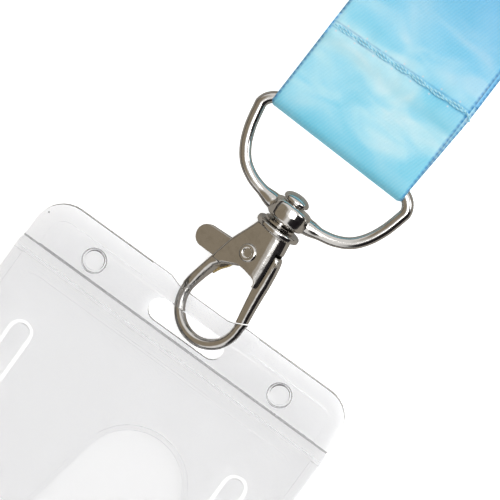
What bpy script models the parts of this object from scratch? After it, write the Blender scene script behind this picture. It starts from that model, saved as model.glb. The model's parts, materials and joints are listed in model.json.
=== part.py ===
"""Lanyard badge holder: a 25 mm satin neck strap, a nickel-plated swivel trigger hook and a clear rigid card
holder, lying flat.

Row frame: metres, +Z up, the object lying on Z = 0 with the middle of its length at the origin and the holder's
tab towards +Y. The hook passes through the holder's slot, and the strap runs on from the hook's D-ring towards +Y.
The holder frame has its origin at the middle of the holder's rear face; the boss centre is given in it.
All dimensions below are in millimetres and are turned into metres by MM.
"""

import math

import bmesh
import bpy
from mathutils import Matrix, Vector

MM = 0.001
COLLECTION = "lanyard_badge_holder"
CUTTERS = "cutters"
FIT_GAP = 0.3
WELD = 1e-6

# Holder, seen from the front: x from the middle, "down" measured from the top edge.
HOLDER_LENGTH = 97.0
HOLDER_WIDTH = 57.6
HOLDER_THICK = 4.6
TAB_WIDTH = 57.0
TAB_CORNER = 5.0
TAB_DEPTH = 8.4
TAB_REAR_LAYER = (2.3, 2.9)
TAB_FRONT_LAYER = (3.0, 3.6)
RIM_WIDTH = 2.6
RIM_GAP_HALF = 10.0
RECESS_BOTTOM = 7.9
SLOT_DOWN = 5.4
SLOT_LENGTH = 13.6
SLOT_WIDTH = 3.8
NOTCH_DEPTH = 0.7
NOTCH_TOP_HALF = 6.7
NOTCH_FLOOR_HALF = 4.5
PIN_X = 17.5
PIN_DOWN = 5.2
PIN_HEAD_RADIUS = 2.0
PIN_RADIUS = 1.5
SHELL_WALL = 1.1
SIDE_WALL = 1.5
SHELL_SPLIT = 2.1
POCKET_CORNER = 4.0
PANEL_DOWN = 12.1
PANEL_INSET = 4.0
PANEL_DEPTH = 0.35
EDGE_STEP = 1.15
FINGER_X = 20.3
FINGER_DOWN = 19.4
FINGER_HALF = 1.5
FINGER_LENGTH = 11.0
FINGER_CUT = 0.6
TRACK_HALF = 8.9
TRACK_HEIGHT = 0.3
WINDOW_X = 6.8
WINDOW_DOWN = 30.5
WINDOW_RADIUS = 8.3
WINDOW_FLARE = math.radians(11.0)
WINDOW_FLANK = 30.0
WINDOW_STEP = 0.9

# Swivel: the boss centre in the holder frame, and how the hook and the ring lie around it.
BOSS_CENTRE = (2.17, 66.9, 5.24)
HOOK_YAW = math.radians(0.2)
HOOK_PITCH = math.radians(5.1)
HOOK_ROLL = math.radians(22.0)
RING_YAW = math.radians(-1.8)

# D-ring in its own frame: x along the bar, y from the boss to the bar, origin at the bar's middle.
RING_HALF_WIDTH = 13.9
BOW_POWER = 0.9
RING_WIRE = 0.95
RING_CORNER = 1.6
BOSS_DISTANCE = 13.3
BOSS_RADIUS = 3.3
BOSS_HALF = 1.65
BOSS_FLARE = 1.6
BOSS_FLARE_REACH = 5.2
BOSS_BORE = 1.55

# Hook in its own frame: x to the right, y along the post towards the ring, z out of the front face,
# origin at the boss centre.
POST_RADIUS = 1.15
POST_SOCKET = 1.45
POST_END = -5.0
HEAD_RADIUS = 2.15
HEAD_BASE = 2.0
HEAD_TOP = 3.35
WASHER = (1.45, 2.6, -2.3, -1.95)
FLANGE_RADIUS = 3.6
FLANGE = (-3.35, -2.45)
NECK_RADIUS = 2.3
HOUSING_HALF = 2.3
CHEEK_INNER = 1.35
EDGE_ROUND = 0.45
SIDE_ROUND = 1.5
LOOP_CENTRE = (-0.9, -19.1)
LOOP_RADIUS = 5.45
LOOP_WIRE = 0.8
PIVOT = (-0.6, -8.25)
RIVET_RADIUS = 0.95
RIVET_BORE = 0.58
RIVET_HEAD = 1.45
RIVET_HEAD_THICK = 0.3
LEVER_LAYER = (-0.2, 1.0)
LEVER_HUB = 2.0
LEVER_HALF_WIDTH = 1.85
LEVER_TIP = (-8.35, -10.75)
LEVER_HEADING = 184.0
GATE_TOP = (3.35, -11.6)
GATE_END = (4.62, -18.1)
GATE_WIRE = 0.85
GATE_REACH = 10.75
NOSE_REACH = 11.05
SPRING_WIRE = 0.17
SPRING_COIL = 1.5
SPRING_LAYER = (-1.1, -0.5)
SPRING_TURNS = 1.5
SPRING_START = -150.0
SPRING_LEG = ((-3.95, -6.5), (-2.8, -4.7))

# Strap in the strap frame: x across, y away from the ring along the strap, origin at the bar's middle.
STRAP_WIDTH = 25.0
STRAP_FOLD_WIDTH = 24.2
STRAP_THICK = 0.8
FOLD_INNER = 1.35
SEAM_Y = 14.4
STRAP_FLAT_Y = 26.0
STRAP_VIEW_END = 37.7
HANK_LENGTH = 84.0
HANK_HEIGHT = 11.0
HANK_ROUND = 2.5
TIE_LENGTH = 10.0
TIE_THICK = 0.6
STRAP_LIFT = 0.05
HANK_LIFT = STRAP_LIFT + TIE_THICK + FIT_GAP
THREAD_RADIUS = 0.2
STITCH = 3.4
SEAM_HALF = 11.6

TOP_Y = HOLDER_LENGTH / 2
PLATING = ((0.62, 0.60, 0.57), 0.18, 1.0)
CLEAR = ((0.90, 0.92, 0.93), 0.08, 0.0)
SATIN = ((0.22, 0.62, 0.86), 0.45, 0.0)
THREAD = ((0.14, 0.45, 0.70), 0.6, 0.0)
BRASS = ((0.78, 0.62, 0.34), 0.3, 1.0)
ELASTIC = ((0.85, 0.86, 0.88), 0.8, 0.0)


# ---------------------------------------------------------------- helpers

def clear_scene():
    """Removes every object of the scene."""
    for obj in list(bpy.data.objects):
        bpy.data.objects.remove(obj, do_unlink=True)


def make_collection(name):
    """A collection of that name, linked to the scene."""
    collection = bpy.data.collections.new(name)
    bpy.context.scene.collection.children.link(collection)
    return collection


def make_material(name, look):
    """A Principled material from a colour, a roughness and a metallic value."""
    colour, roughness, metallic = look
    material = bpy.data.materials.new(name)
    material.use_nodes = True
    shader = material.node_tree.nodes["Principled BSDF"]
    shader.inputs["Base Color"].default_value = (*colour, 1.0)
    shader.inputs["Roughness"].default_value = roughness
    shader.inputs["Metallic"].default_value = metallic
    return material


def add_object(name, data, collection, parent=None):
    """An object in a collection, under its frame empty."""
    obj = bpy.data.objects.new(name, data)
    collection.objects.link(obj)
    obj.parent = parent
    return obj


def as_cutter(obj):
    """Marks an object as a construction body."""
    obj.hide_render = True
    obj.display_type = "WIRE"
    return obj


def curve_to_mesh(curve, name, collection, parent):
    """The closed mesh of a curve object, which it replaces."""
    bpy.context.view_layer.update()
    evaluated = curve.evaluated_get(bpy.context.evaluated_depsgraph_get())
    mesh = bpy.data.meshes.new_from_object(evaluated)
    bm = bmesh.new()
    bm.from_mesh(mesh)
    bmesh.ops.remove_doubles(bm, verts=bm.verts, dist=WELD)
    bmesh.ops.recalc_face_normals(bm, faces=bm.faces)
    bm.to_mesh(mesh)
    bm.free()
    data = curve.data
    bpy.data.objects.remove(curve, do_unlink=True)
    bpy.data.curves.remove(data)
    mesh.name = name
    return add_object(name, mesh, collection, parent)


def prism(name, outlines, low, high, collection, parent=None):
    """A flat outline, or an outline with holes, between two heights along local z."""
    curve = bpy.data.curves.new(name, "CURVE")
    curve.dimensions = "2D"
    curve.fill_mode = "BOTH"
    curve.extrude = (high - low) / 2 * MM
    for outline in outlines:
        spline = curve.splines.new("POLY")
        spline.points.add(len(outline) - 1)
        for point, (x, y) in zip(spline.points, outline):
            point.co = (x * MM, y * MM, 0.0, 1.0)
        spline.use_cyclic_u = True
    obj = add_object(name + ".curve", curve, collection)
    obj = curve_to_mesh(obj, name, collection, parent)
    obj.data.transform(Matrix.Translation((0.0, 0.0, (low + high) / 2 * MM)))
    return obj


def tube(name, points, radius, collection, parent=None, sides=2, cyclic=False, radii=None):
    """A round bar along a list of points, with an optional radius factor at each."""
    curve = bpy.data.curves.new(name, "CURVE")
    curve.dimensions = "3D"
    curve.bevel_depth = radius * MM
    curve.bevel_resolution = sides
    curve.use_fill_caps = True
    spline = curve.splines.new("POLY")
    spline.points.add(len(points) - 1)
    for index, (point, co) in enumerate(zip(spline.points, points)):
        point.co = (co[0] * MM, co[1] * MM, co[2] * MM, 1.0)
        point.radius = radii[index] if radii else 1.0
    spline.use_cyclic_u = cyclic
    obj = add_object(name + ".curve", curve, collection)
    return curve_to_mesh(obj, name, collection, parent)


def turned(name, profile, steps, collection, parent=None, centre=(0.0, 0.0, 0.0), along="z"):
    """A turned body: a closed profile of (radius, height), outer side from top to bottom."""
    mesh = bpy.data.meshes.new(name)
    bm = bmesh.new()
    verts = [bm.verts.new((r * MM, 0.0, h * MM)) for r, h in profile]
    for a, b in zip(verts, verts[1:]):
        bm.edges.new((a, b))
    if profile[0][0] > 0.0:
        bm.edges.new((verts[-1], verts[0]))
    bm.to_mesh(mesh)
    bm.free()
    obj = add_object(name, mesh, collection, parent)
    obj.location = Vector(centre) * MM
    if along == "y":
        obj.rotation_euler = (-math.pi / 2, 0.0, 0.0)
    screw = obj.modifiers.new("turn", "SCREW")
    screw.steps = steps
    screw.render_steps = steps
    screw.use_merge_vertices = True
    screw.merge_threshold = 1e-5
    return obj


def combine(target, other, operation):
    """An exact Boolean of a construction body on a target."""
    as_cutter(other)
    modifier = target.modifiers.new(other.name, "BOOLEAN")
    modifier.operation = operation
    modifier.solver = "EXACT"
    modifier.object = other
    return target


def shade(obj, angle=35.0):
    """Smooth shading with sharp edges kept."""
    obj.data.shade_smooth()
    obj.data.set_sharp_from_angle(angle=math.radians(angle))


def arc(centre, radius, start, end, count):
    """Points on an arc, both ends included; angles in degrees."""
    points = []
    for step in range(count + 1):
        angle = math.radians(start + (end - start) * step / count)
        points.append((centre[0] + radius * math.cos(angle), centre[1] + radius * math.sin(angle)))
    return points


def smooth_line(points, per_span):
    """Points of a Catmull-Rom curve through an open list of points."""
    padded = [points[0]] + list(points) + [points[-1]]
    line = []
    for i in range(1, len(padded) - 2):
        p0, p1, p2, p3 = (Vector(p) for p in padded[i - 1:i + 3])
        for step in range(per_span):
            t = step / per_span
            line.append(tuple(0.5 * (2 * p1 + (p2 - p0) * t + (2 * p0 - 5 * p1 + 4 * p2 - p3) * t ** 2
                                     + (3 * p1 - p0 - 3 * p2 + p3) * t ** 3)))
    line.append(tuple(points[-1]))
    return line


def rounded_box(half_x, low_y, high_y, radius, count=6):
    """A rectangle with four round corners."""
    points = []
    corners = ((half_x, high_y, 0), (-half_x, high_y, 90), (-half_x, low_y, 180), (half_x, low_y, 270))
    for x, y, start in corners:
        centre = (x - math.copysign(radius, x), y - math.copysign(radius, 1 if start < 180 else -1))
        points += arc(centre, radius, start, start + 90, count)
    return points


def box_outline(low_x, high_x, low_y, high_y):
    """A plain rectangle."""
    return [(low_x, low_y), (high_x, low_y), (high_x, high_y), (low_x, high_y)]


def smoothstep(value):
    """0 below 0, 1 above 1, smooth between."""
    value = min(max(value, 0.0), 1.0)
    return value * value * (3.0 - 2.0 * value)


# ---------------------------------------------------------------- holder

def tab_outline():
    """The tab's upper edge from the front, right to left, with its round corners and the notch."""
    half_tab = TAB_WIDTH / 2
    points = arc((half_tab - TAB_CORNER, TOP_Y - TAB_CORNER), TAB_CORNER, 0, 90, 8)
    points += [(NOTCH_TOP_HALF, TOP_Y), (NOTCH_FLOOR_HALF, TOP_Y - NOTCH_DEPTH)]
    points += [(-NOTCH_FLOOR_HALF, TOP_Y - NOTCH_DEPTH), (-NOTCH_TOP_HALF, TOP_Y)]
    points += arc((-half_tab + TAB_CORNER, TOP_Y - TAB_CORNER), TAB_CORNER, 90, 180, 8)
    return points


def full_outline():
    """Tab and pocket together."""
    points = tab_outline()
    half = HOLDER_WIDTH / 2
    shoulder = TOP_Y - TAB_DEPTH
    low = -HOLDER_LENGTH / 2
    points += [(-TAB_WIDTH / 2, shoulder), (-half, shoulder - 0.6)]
    points += arc((-half + POCKET_CORNER, low + POCKET_CORNER), POCKET_CORNER, 180, 270, 6)
    points += arc((half - POCKET_CORNER, low + POCKET_CORNER), POCKET_CORNER, 270, 360, 6)
    points += [(half, shoulder - 0.6), (TAB_WIDTH / 2, shoulder)]
    return points


def slot_outline():
    """The full-round lanyard slot."""
    reach = (SLOT_LENGTH - SLOT_WIDTH) / 2
    y = TOP_Y - SLOT_DOWN
    return arc((reach, y), SLOT_WIDTH / 2, -90, 90, 10) + arc((-reach, y), SLOT_WIDTH / 2, 90, 270, 10)


def window_outline(grow):
    """The thumb window: a round top, flanks that flare, and a wide round bottom."""
    radius = WINDOW_RADIUS + grow
    flare = math.degrees(WINDOW_FLARE)
    centre = (WINDOW_X, TOP_Y - WINDOW_DOWN)
    points = arc(centre, radius, flare, 180 - flare, 20)
    foot_half = radius * math.cos(WINDOW_FLARE) + WINDOW_FLANK * math.sin(WINDOW_FLARE)
    foot_y = centre[1] - WINDOW_FLANK
    points += [(centre[0] + foot_half * math.cos(math.radians(a)), foot_y + (6.0 + grow) * math.sin(math.radians(a)))
               for a in range(180, 361, 15)]
    return points


def finger_cut(side):
    """The U-shaped slit round a retaining finger; its free end is uppermost."""
    x = side * FINGER_X
    outer = FINGER_HALF + FINGER_CUT
    top = TOP_Y - FINGER_DOWN
    centre = (x, top - FINGER_HALF)
    foot = top - FINGER_LENGTH
    points = arc(centre, outer, 0, 180, 8)
    points += [(x - outer, foot), (x - FINGER_HALF, foot)]
    points += arc(centre, FINGER_HALF, 180, 0, 8)
    points += [(x + FINGER_HALF, foot), (x + outer, foot)]
    return points


def pin_holes(target, name, low, high, collection, frame):
    """The two holes that the weld pins fill."""
    for side in (-1, 1):
        hole = prism(f"{name}_pin_hole_{side + 1}",
                     [arc((side * PIN_X, TOP_Y - PIN_DOWN), PIN_RADIUS + FIT_GAP, 0, 345, 23)],
                     low, high, collection, frame)
        combine(target, hole, "DIFFERENCE")


def build_rear_shell(parts, cutters, frame):
    """The rear shell: a shallow tray with the tab's rear layer, a stepped thumb window and a raised track."""
    half = HOLDER_WIDTH / 2
    low = -HOLDER_LENGTH / 2
    shoulder = TOP_Y - TAB_DEPTH
    tab = tab_outline() + [(-TAB_WIDTH / 2, shoulder - 1.6), (TAB_WIDTH / 2, shoulder - 1.6)]
    shell = prism("rear_shell", [tab], *TAB_REAR_LAYER, parts, frame)
    tray_outline = [(half, shoulder), (-half, shoulder)]
    tray_outline += arc((-half + POCKET_CORNER, low + POCKET_CORNER), POCKET_CORNER, 180, 270, 6)
    tray_outline += arc((half - POCKET_CORNER, low + POCKET_CORNER), POCKET_CORNER, 270, 360, 6)
    tray = prism("rear_tray", [tray_outline], 0.0, SHELL_SPLIT, cutters, frame)
    combine(shell, tray, "UNION")
    wall = prism("rear_top_wall", [box_outline(-half + 0.5, half - 0.5, shoulder - 1.6, shoulder - 0.01)],
                 0.2, TAB_REAR_LAYER[1] - 0.05, cutters, frame)
    combine(shell, wall, "UNION")
    inner = half - SIDE_WALL
    cavity = prism("rear_cavity", [box_outline(-inner, inner, low - 2.0, shoulder - 1.6)],
                   SHELL_WALL, HOLDER_THICK, cutters, frame)
    combine(shell, cavity, "DIFFERENCE")
    track = prism("rear_track", [box_outline(-TRACK_HALF, TRACK_HALF, low + 14.0, TOP_Y - PANEL_DOWN)],
                  SHELL_WALL - 0.3, SHELL_WALL + TRACK_HEIGHT, cutters, frame)
    combine(shell, track, "UNION")
    window = prism("rear_window", [window_outline(0.0)], -1.0, HOLDER_THICK, cutters, frame)
    combine(shell, window, "DIFFERENCE")
    step = prism("rear_window_step", [window_outline(WINDOW_STEP)], SHELL_WALL / 2, HOLDER_THICK, cutters, frame)
    combine(shell, step, "DIFFERENCE")
    slot = prism("rear_slot", [slot_outline()], 0.0, HOLDER_THICK, cutters, frame)
    combine(shell, slot, "DIFFERENCE")
    pin_holes(shell, "rear", 1.0, HOLDER_THICK, cutters, frame)
    return shell


def build_front_cover(parts, cutters, frame):
    """The front cover: the tab's front layer with its raised rim, the face panel and the two fingers."""
    half = HOLDER_WIDTH / 2
    low = -HOLDER_LENGTH / 2
    shoulder = TOP_Y - TAB_DEPTH
    wall_low = SHELL_SPLIT + FIT_GAP
    cover = prism("front_cover", [full_outline()], wall_low, HOLDER_THICK, parts, frame)
    under_tab = prism("front_under_tab", [box_outline(-half - 5, half + 5, shoulder - 2.2, TOP_Y + 5)],
                      wall_low - 1.0, TAB_FRONT_LAYER[0], cutters, frame)
    combine(cover, under_tab, "DIFFERENCE")
    inner = half - SIDE_WALL
    cavity = prism("front_cavity", [box_outline(-inner, inner, low - 2.0, shoulder - 2.0)],
                   wall_low - 1.0, HOLDER_THICK - SHELL_WALL, cutters, frame)
    combine(cover, cavity, "DIFFERENCE")
    rim_inner = TAB_WIDTH / 2 - RIM_WIDTH
    recess_corner = TAB_CORNER - RIM_WIDTH
    recess = arc((rim_inner - recess_corner, TOP_Y - TAB_CORNER), recess_corner, 0, 90, 6)
    recess += [(RIM_GAP_HALF, TOP_Y - RIM_WIDTH), (RIM_GAP_HALF, TOP_Y + 5)]
    recess += [(-RIM_GAP_HALF, TOP_Y + 5), (-RIM_GAP_HALF, TOP_Y - RIM_WIDTH)]
    recess += arc((-rim_inner + recess_corner, TOP_Y - TAB_CORNER), recess_corner, 90, 180, 6)
    recess += [(-rim_inner, TOP_Y - RECESS_BOTTOM), (rim_inner, TOP_Y - RECESS_BOTTOM)]
    tab_recess = prism("front_tab_recess", [recess], TAB_FRONT_LAYER[1], HOLDER_THICK + 2, cutters, frame)
    combine(cover, tab_recess, "DIFFERENCE")
    panel_half = half - PANEL_INSET
    panel = prism("front_panel", [rounded_box(panel_half, low + 4.0, TOP_Y - PANEL_DOWN, 1.5, 4)],
                  HOLDER_THICK - PANEL_DEPTH, HOLDER_THICK + 2, cutters, frame)
    combine(cover, panel, "DIFFERENCE")
    for side in (-1, 1):
        edge = half - EDGE_STEP
        step = prism(f"front_edge_{side + 1}",
                     [box_outline(*sorted((side * edge, side * (half + 2))), low - 1.0, shoulder - 2.0)],
                     HOLDER_THICK - 0.4, HOLDER_THICK + 2, cutters, frame)
        combine(cover, step, "DIFFERENCE")
        finger = prism(f"front_finger_{side + 1}", [finger_cut(side)], 3.0, HOLDER_THICK + 1, cutters, frame)
        combine(cover, finger, "DIFFERENCE")
    slot = prism("front_slot", [slot_outline()], 0.0, HOLDER_THICK + 1, cutters, frame)
    combine(cover, slot, "DIFFERENCE")
    pin_holes(cover, "front", 1.0, HOLDER_THICK, cutters, frame)
    return cover


def build_weld_pin(name, side, parts, frame):
    """A pin with a low round head that holds the two shells together at the tab."""
    base = TAB_FRONT_LAYER[1] + 0.1
    low = TAB_REAR_LAYER[0] + 0.1
    r = PIN_HEAD_RADIUS
    profile = [(0.0, base + 0.35), (r - 0.5, base + 0.35), (r - 0.12, base + 0.3), (r, base + 0.15), (r, base),
               (PIN_RADIUS, base), (PIN_RADIUS, low), (0.0, low)]
    return turned(name, profile, 32, parts, frame, (side * PIN_X, TOP_Y - PIN_DOWN, 0.0))


# ---------------------------------------------------------------- ring and swivel

def ring_path():
    """The ring's centre line and its radius factors: straight bar, two corners, and a round bow."""
    corner = RING_HALF_WIDTH - RING_CORNER
    points = [(x, 0.0) for x in (-corner, -corner / 2, 0.0, corner / 2)]
    points += arc((corner, -RING_CORNER), RING_CORNER, 90, 15, 4)
    for x, y in arc((0.0, 0.0), 1.0, -8, -172, 60):
        points.append((math.copysign(RING_HALF_WIDTH * abs(x) ** BOW_POWER, x),
                       -BOSS_DISTANCE * abs(y) ** BOW_POWER))
    points += arc((-corner, -RING_CORNER), RING_CORNER, 165, 90 + 18, 3)
    radii = []
    for x, y in points:
        near = math.hypot(x, y + BOSS_DISTANCE) / BOSS_FLARE_REACH
        flare = (BOSS_FLARE / RING_WIRE - 1.0) * (1.0 - smoothstep(near))
        radii.append(1.0 + (flare if y < -1.0 else 0.0))
    return [(x, y, 0.0) for x, y in points], radii


def build_ring(parts, cutters, frame):
    """The D-ring with the swivel boss cast on its bow."""
    points, radii = ring_path()
    ring = tube("swivel_d_ring", points, RING_WIRE, parts, frame, 3, True, radii)
    edge = 0.55
    profile = [(0.0, BOSS_HALF), (BOSS_RADIUS - edge, BOSS_HALF), (BOSS_RADIUS - edge * 0.3, BOSS_HALF - edge * 0.3),
               (BOSS_RADIUS, BOSS_HALF - edge), (BOSS_RADIUS, edge - BOSS_HALF),
               (BOSS_RADIUS - edge * 0.3, edge * 0.3 - BOSS_HALF), (BOSS_RADIUS - edge, -BOSS_HALF),
               (0.0, -BOSS_HALF)]
    boss = turned("ring_boss", profile, 32, cutters, frame, (0.0, -BOSS_DISTANCE, 0.0), "y")
    combine(ring, boss, "UNION")
    bore = turned("ring_bore", [(0.0, 4.0), (BOSS_BORE, 4.0), (BOSS_BORE, -4.0), (0.0, -4.0)], 32, cutters, frame,
                  (0.0, -BOSS_DISTANCE, 0.0), "y")
    combine(ring, bore, "DIFFERENCE")
    return ring


def build_swivel_rivet(parts, frame):
    """The swivel rivet: a domed head over the boss and a shank down into the hook's neck."""
    dome = []
    for step in range(7):
        angle = math.radians(90 - 80 * step / 6)
        dome.append((HEAD_RADIUS * math.cos(angle) if step else 0.0,
                     HEAD_BASE + 0.35 + (HEAD_TOP - HEAD_BASE - 0.35) * math.sin(angle)))
    profile = dome + [(HEAD_RADIUS, HEAD_BASE + 0.2), (HEAD_RADIUS - 0.1, HEAD_BASE), (POST_RADIUS, HEAD_BASE),
                      (POST_RADIUS, POST_END), (0.0, POST_END)]
    return turned("swivel_rivet", profile, 32, parts, frame, along="y")


def build_swivel_washer(parts, frame):
    """The flat washer between the boss and the hook's flange."""
    inner, outer, low, high = WASHER
    profile = [(outer, high), (outer, low), (inner, low), (inner, high)]
    return turned("swivel_washer", profile, 32, parts, frame, along="y")


# ---------------------------------------------------------------- hook

def housing_outline():
    """The housing from the front: left side down to the spine, the opening's arch, and the right side."""
    left = [(-2.6, -3.0), (-3.4, -5.5), (-4.6, -8.5), (-5.5, -12.0), (-6.1, -14.8), (-6.6, -17.2)]
    arch = [(-5.55, -17.2), (-5.2, -15.2), (-4.6, -13.5), (-3.4, -12.0), (-1.2, -10.9), (1.2, -10.85), (2.9, -11.3)]
    right = [(4.1, -11.5), (3.8, -8.5), (3.2, -5.5), (2.6, -3.0)]
    return smooth_line(left, 3) + smooth_line(arch, 3) + smooth_line(right, 3)


def housing_half_thickness(y):
    """Half the housing's thickness: full down to the arch, then down to the wire's own."""
    return LOOP_WIRE * 0.8 + (HOUSING_HALF - LOOP_WIRE * 0.8) * (1.0 - smoothstep((-11.0 - y) / 6.0))


def round_housing(obj):
    """Thins the housing towards the spine and rounds its long edges, most on the right side."""
    bm = bmesh.new()
    bm.from_mesh(obj.data)
    flat = [e for e in bm.edges if e.is_manifold and abs(e.verts[0].co.z - e.verts[1].co.z) < WELD]
    rims = [e for e in flat if e.calc_face_angle(0.0) > math.radians(60)]
    side = [e for e in rims if all(v.co.x > 2.4 * MM and v.co.y > -11.6 * MM for v in e.verts)
            and abs(e.verts[0].co.y - e.verts[1].co.y) > 0.3 * MM]
    rest = [e for e in rims if e not in set(side)]
    bmesh.ops.bevel(bm, geom=side, offset=SIDE_ROUND * MM, segments=4, profile=0.5, affect="EDGES",
                    clamp_overlap=True)
    rest = [e for e in rest if e.is_valid]
    bmesh.ops.bevel(bm, geom=rest, offset=EDGE_ROUND * MM, segments=2, profile=0.5, affect="EDGES",
                    clamp_overlap=True)
    for vert in bm.verts:
        vert.co.z *= housing_half_thickness(vert.co.y / MM) / HOUSING_HALF
    bmesh.ops.remove_doubles(bm, verts=bm.verts, dist=WELD)
    bmesh.ops.recalc_face_normals(bm, faces=bm.faces)
    bm.to_mesh(obj.data)
    bm.free()


def loop_path():
    """The hook's wire: down the spine, round the nose and up to its tip."""
    cx, cy = LOOP_CENTRE
    spine = smooth_line([(-5.0, -13.0), (-5.6, -15.2), (-6.15, -17.2), (cx - LOOP_RADIUS, cy)], 3)
    nose = arc(LOOP_CENTRE, LOOP_RADIUS, 180, 364, 30)[1:]
    tip = [(4.6, -17.6)]
    return [(x, y, 0.0) for x, y in spine + nose + tip]


def ring_sector(centre, inner, outer, start, end):
    """A piece of a flat ring."""
    return arc(centre, outer, start, end, 8) + arc(centre, inner, end, start, 8)


def build_hook_body(parts, cutters, frame):
    """The hook body: flange and neck, two cheeks, spine and nose, in one casting."""
    body = prism("hook_body", [housing_outline()], -HOUSING_HALF, HOUSING_HALF, parts, frame)
    round_housing(body)
    low, high = FLANGE
    profile = [(0.0, high), (FLANGE_RADIUS - 0.2, high), (FLANGE_RADIUS, high - 0.2), (FLANGE_RADIUS, low + 0.25),
               (FLANGE_RADIUS - 0.3, low), (NECK_RADIUS, low - 0.15), (NECK_RADIUS - 0.1, -4.6), (1.9, -6.0), (0.0, -6.0)]
    combine(body, turned("hook_neck", profile, 32, cutters, frame, along="y"), "UNION")
    points = loop_path()
    radii = [1.0 + 0.3 * (1.0 - smoothstep((-13.0 - y) / 4.0)) for _, y, _ in points]
    combine(body, tube("hook_wire", points, LOOP_WIRE, cutters, frame, 3, False, radii), "UNION")
    mouth = ring_sector(PIVOT, GATE_REACH - 1.5, NOSE_REACH, -70, -50)
    combine(body, prism("hook_mouth", [mouth], -2.0, 2.0, cutters, frame), "DIFFERENCE")
    slit = [(-9.0, -4.4), (-2.2, -5.9), (2.2, -5.9), (8.0, -5.4), (8.0, -12.6), (4.0, -12.6), (-3.0, -13.4),
            (-9.0, -13.6)]
    combine(body, prism("hook_slit", [slit], -CHEEK_INNER, CHEEK_INNER, cutters, frame), "DIFFERENCE")
    socket = [(0.0, 0.0), (POST_SOCKET, 0.0), (POST_SOCKET, POST_END - FIT_GAP), (0.0, POST_END - FIT_GAP)]
    combine(body, turned("hook_socket", socket, 32, cutters, frame, along="y"), "DIFFERENCE")
    hole = RIVET_RADIUS + 0.25
    bore = [(0.0, 4.0), (hole, 4.0), (hole, -4.0), (0.0, -4.0)]
    combine(body, turned("hook_pivot_bore", bore, 24, cutters, frame, (*PIVOT, 0.0)), "DIFFERENCE")
    return body


def build_pivot_rivet(parts, frame):
    """The tubular rivet on which the gate turns, rolled over outside both cheeks."""
    inner = HOUSING_HALF + 0.08
    outer = inner + RIVET_HEAD_THICK
    profile = [(RIVET_BORE, outer - 0.12), (RIVET_BORE + 0.2, outer), (RIVET_HEAD - 0.25, outer),
               (RIVET_HEAD, outer - 0.15), (RIVET_HEAD, inner), (RIVET_RADIUS, inner), (RIVET_RADIUS, -inner),
               (RIVET_HEAD, -inner), (RIVET_HEAD, 0.15 - outer), (RIVET_HEAD - 0.25, -outer),
               (RIVET_BORE + 0.2, -outer), (RIVET_BORE, 0.12 - outer)]
    return turned("pivot_rivet", profile, 32, parts, frame, (*PIVOT, 0.0))


def build_gate_lever(parts, cutters, frame):
    """Thumb lever, hub and gate bar in one piece; its frame is on the pivot's axis."""
    px, py = PIVOT
    tip = Vector((LEVER_TIP[0] - px, LEVER_TIP[1] - py))
    gate = Vector((GATE_TOP[0] - px, GATE_TOP[1] - py))
    outline = arc(tip, LEVER_HALF_WIDTH, LEVER_HEADING - 82, LEVER_HEADING + 78, 12)
    outline += [(-3.6, -4.05), (-1.9, -2.6), (0.6, -2.5), (gate.x - 1.1, gate.y + 0.5), (gate.x + 0.1, gate.y - 0.3),
                (gate.x + 0.95, gate.y + 0.5), (3.6, -0.2), (2.4, 1.3)]
    outline += arc((0.0, 0.0), LEVER_HUB, 55, 140, 6) + [(-3.8, -0.2)]
    lever = prism("gate_lever", [outline], *LEVER_LAYER, parts, frame)
    end = Vector((GATE_END[0] - px, GATE_END[1] - py))
    steps = 6
    bar_points = [(*(gate + (end - gate) * i / steps), 0.0) for i in range(steps + 1)]
    combine(lever, tube("gate_bar", bar_points, GATE_WIRE, cutters, frame, 3), "UNION")
    past = ring_sector((0.0, 0.0), GATE_REACH, GATE_REACH + 1.5, -80, -40)
    combine(lever, prism("gate_trim", [past], -2.0, 2.0, cutters, frame), "DIFFERENCE")
    hole = RIVET_RADIUS + 0.2
    bore = [(0.0, 4.0), (hole, 4.0), (hole, -4.0), (0.0, -4.0)]
    combine(lever, turned("gate_bore", bore, 24, cutters, frame), "DIFFERENCE")
    return lever


def build_gate_spring(parts, frame):
    """The torsion spring: one leg along the arch to the spine, then its turns round the rivet, behind the gate."""
    low, high = SPRING_LAYER
    points = [(x, y, low) for x, y in SPRING_LEG]
    count = 28
    for step in range(count + 1):
        angle = math.radians(SPRING_START + 360.0 * SPRING_TURNS * step / count)
        height = low + (high - low) * step / count
        points.append((SPRING_COIL * math.cos(angle), SPRING_COIL * math.sin(angle), height))
    return tube("gate_spring", points, SPRING_WIRE, parts, frame, 2)


# ---------------------------------------------------------------- strap

def strap_middle(y, bar_height):
    """Height of the strap's middle plane: at the bar's height on the ring, down to the table."""
    resting = STRAP_LIFT + strap_half(40.0)
    return resting + (bar_height - resting) * (1.0 - smoothstep(y / STRAP_FLAT_Y))


def strap_half(y):
    """Half the strap's stack: round the bar, two layers behind it, three from the seam."""
    wrap = FOLD_INNER + STRAP_THICK
    stack = STRAP_THICK * 1.06
    seam = 0.45 * STRAP_THICK * smoothstep((y - SEAM_Y + 3.5) / 2.0)
    return stack + (wrap - stack) * (1.0 - smoothstep(y / 9.0)) + seam


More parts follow.
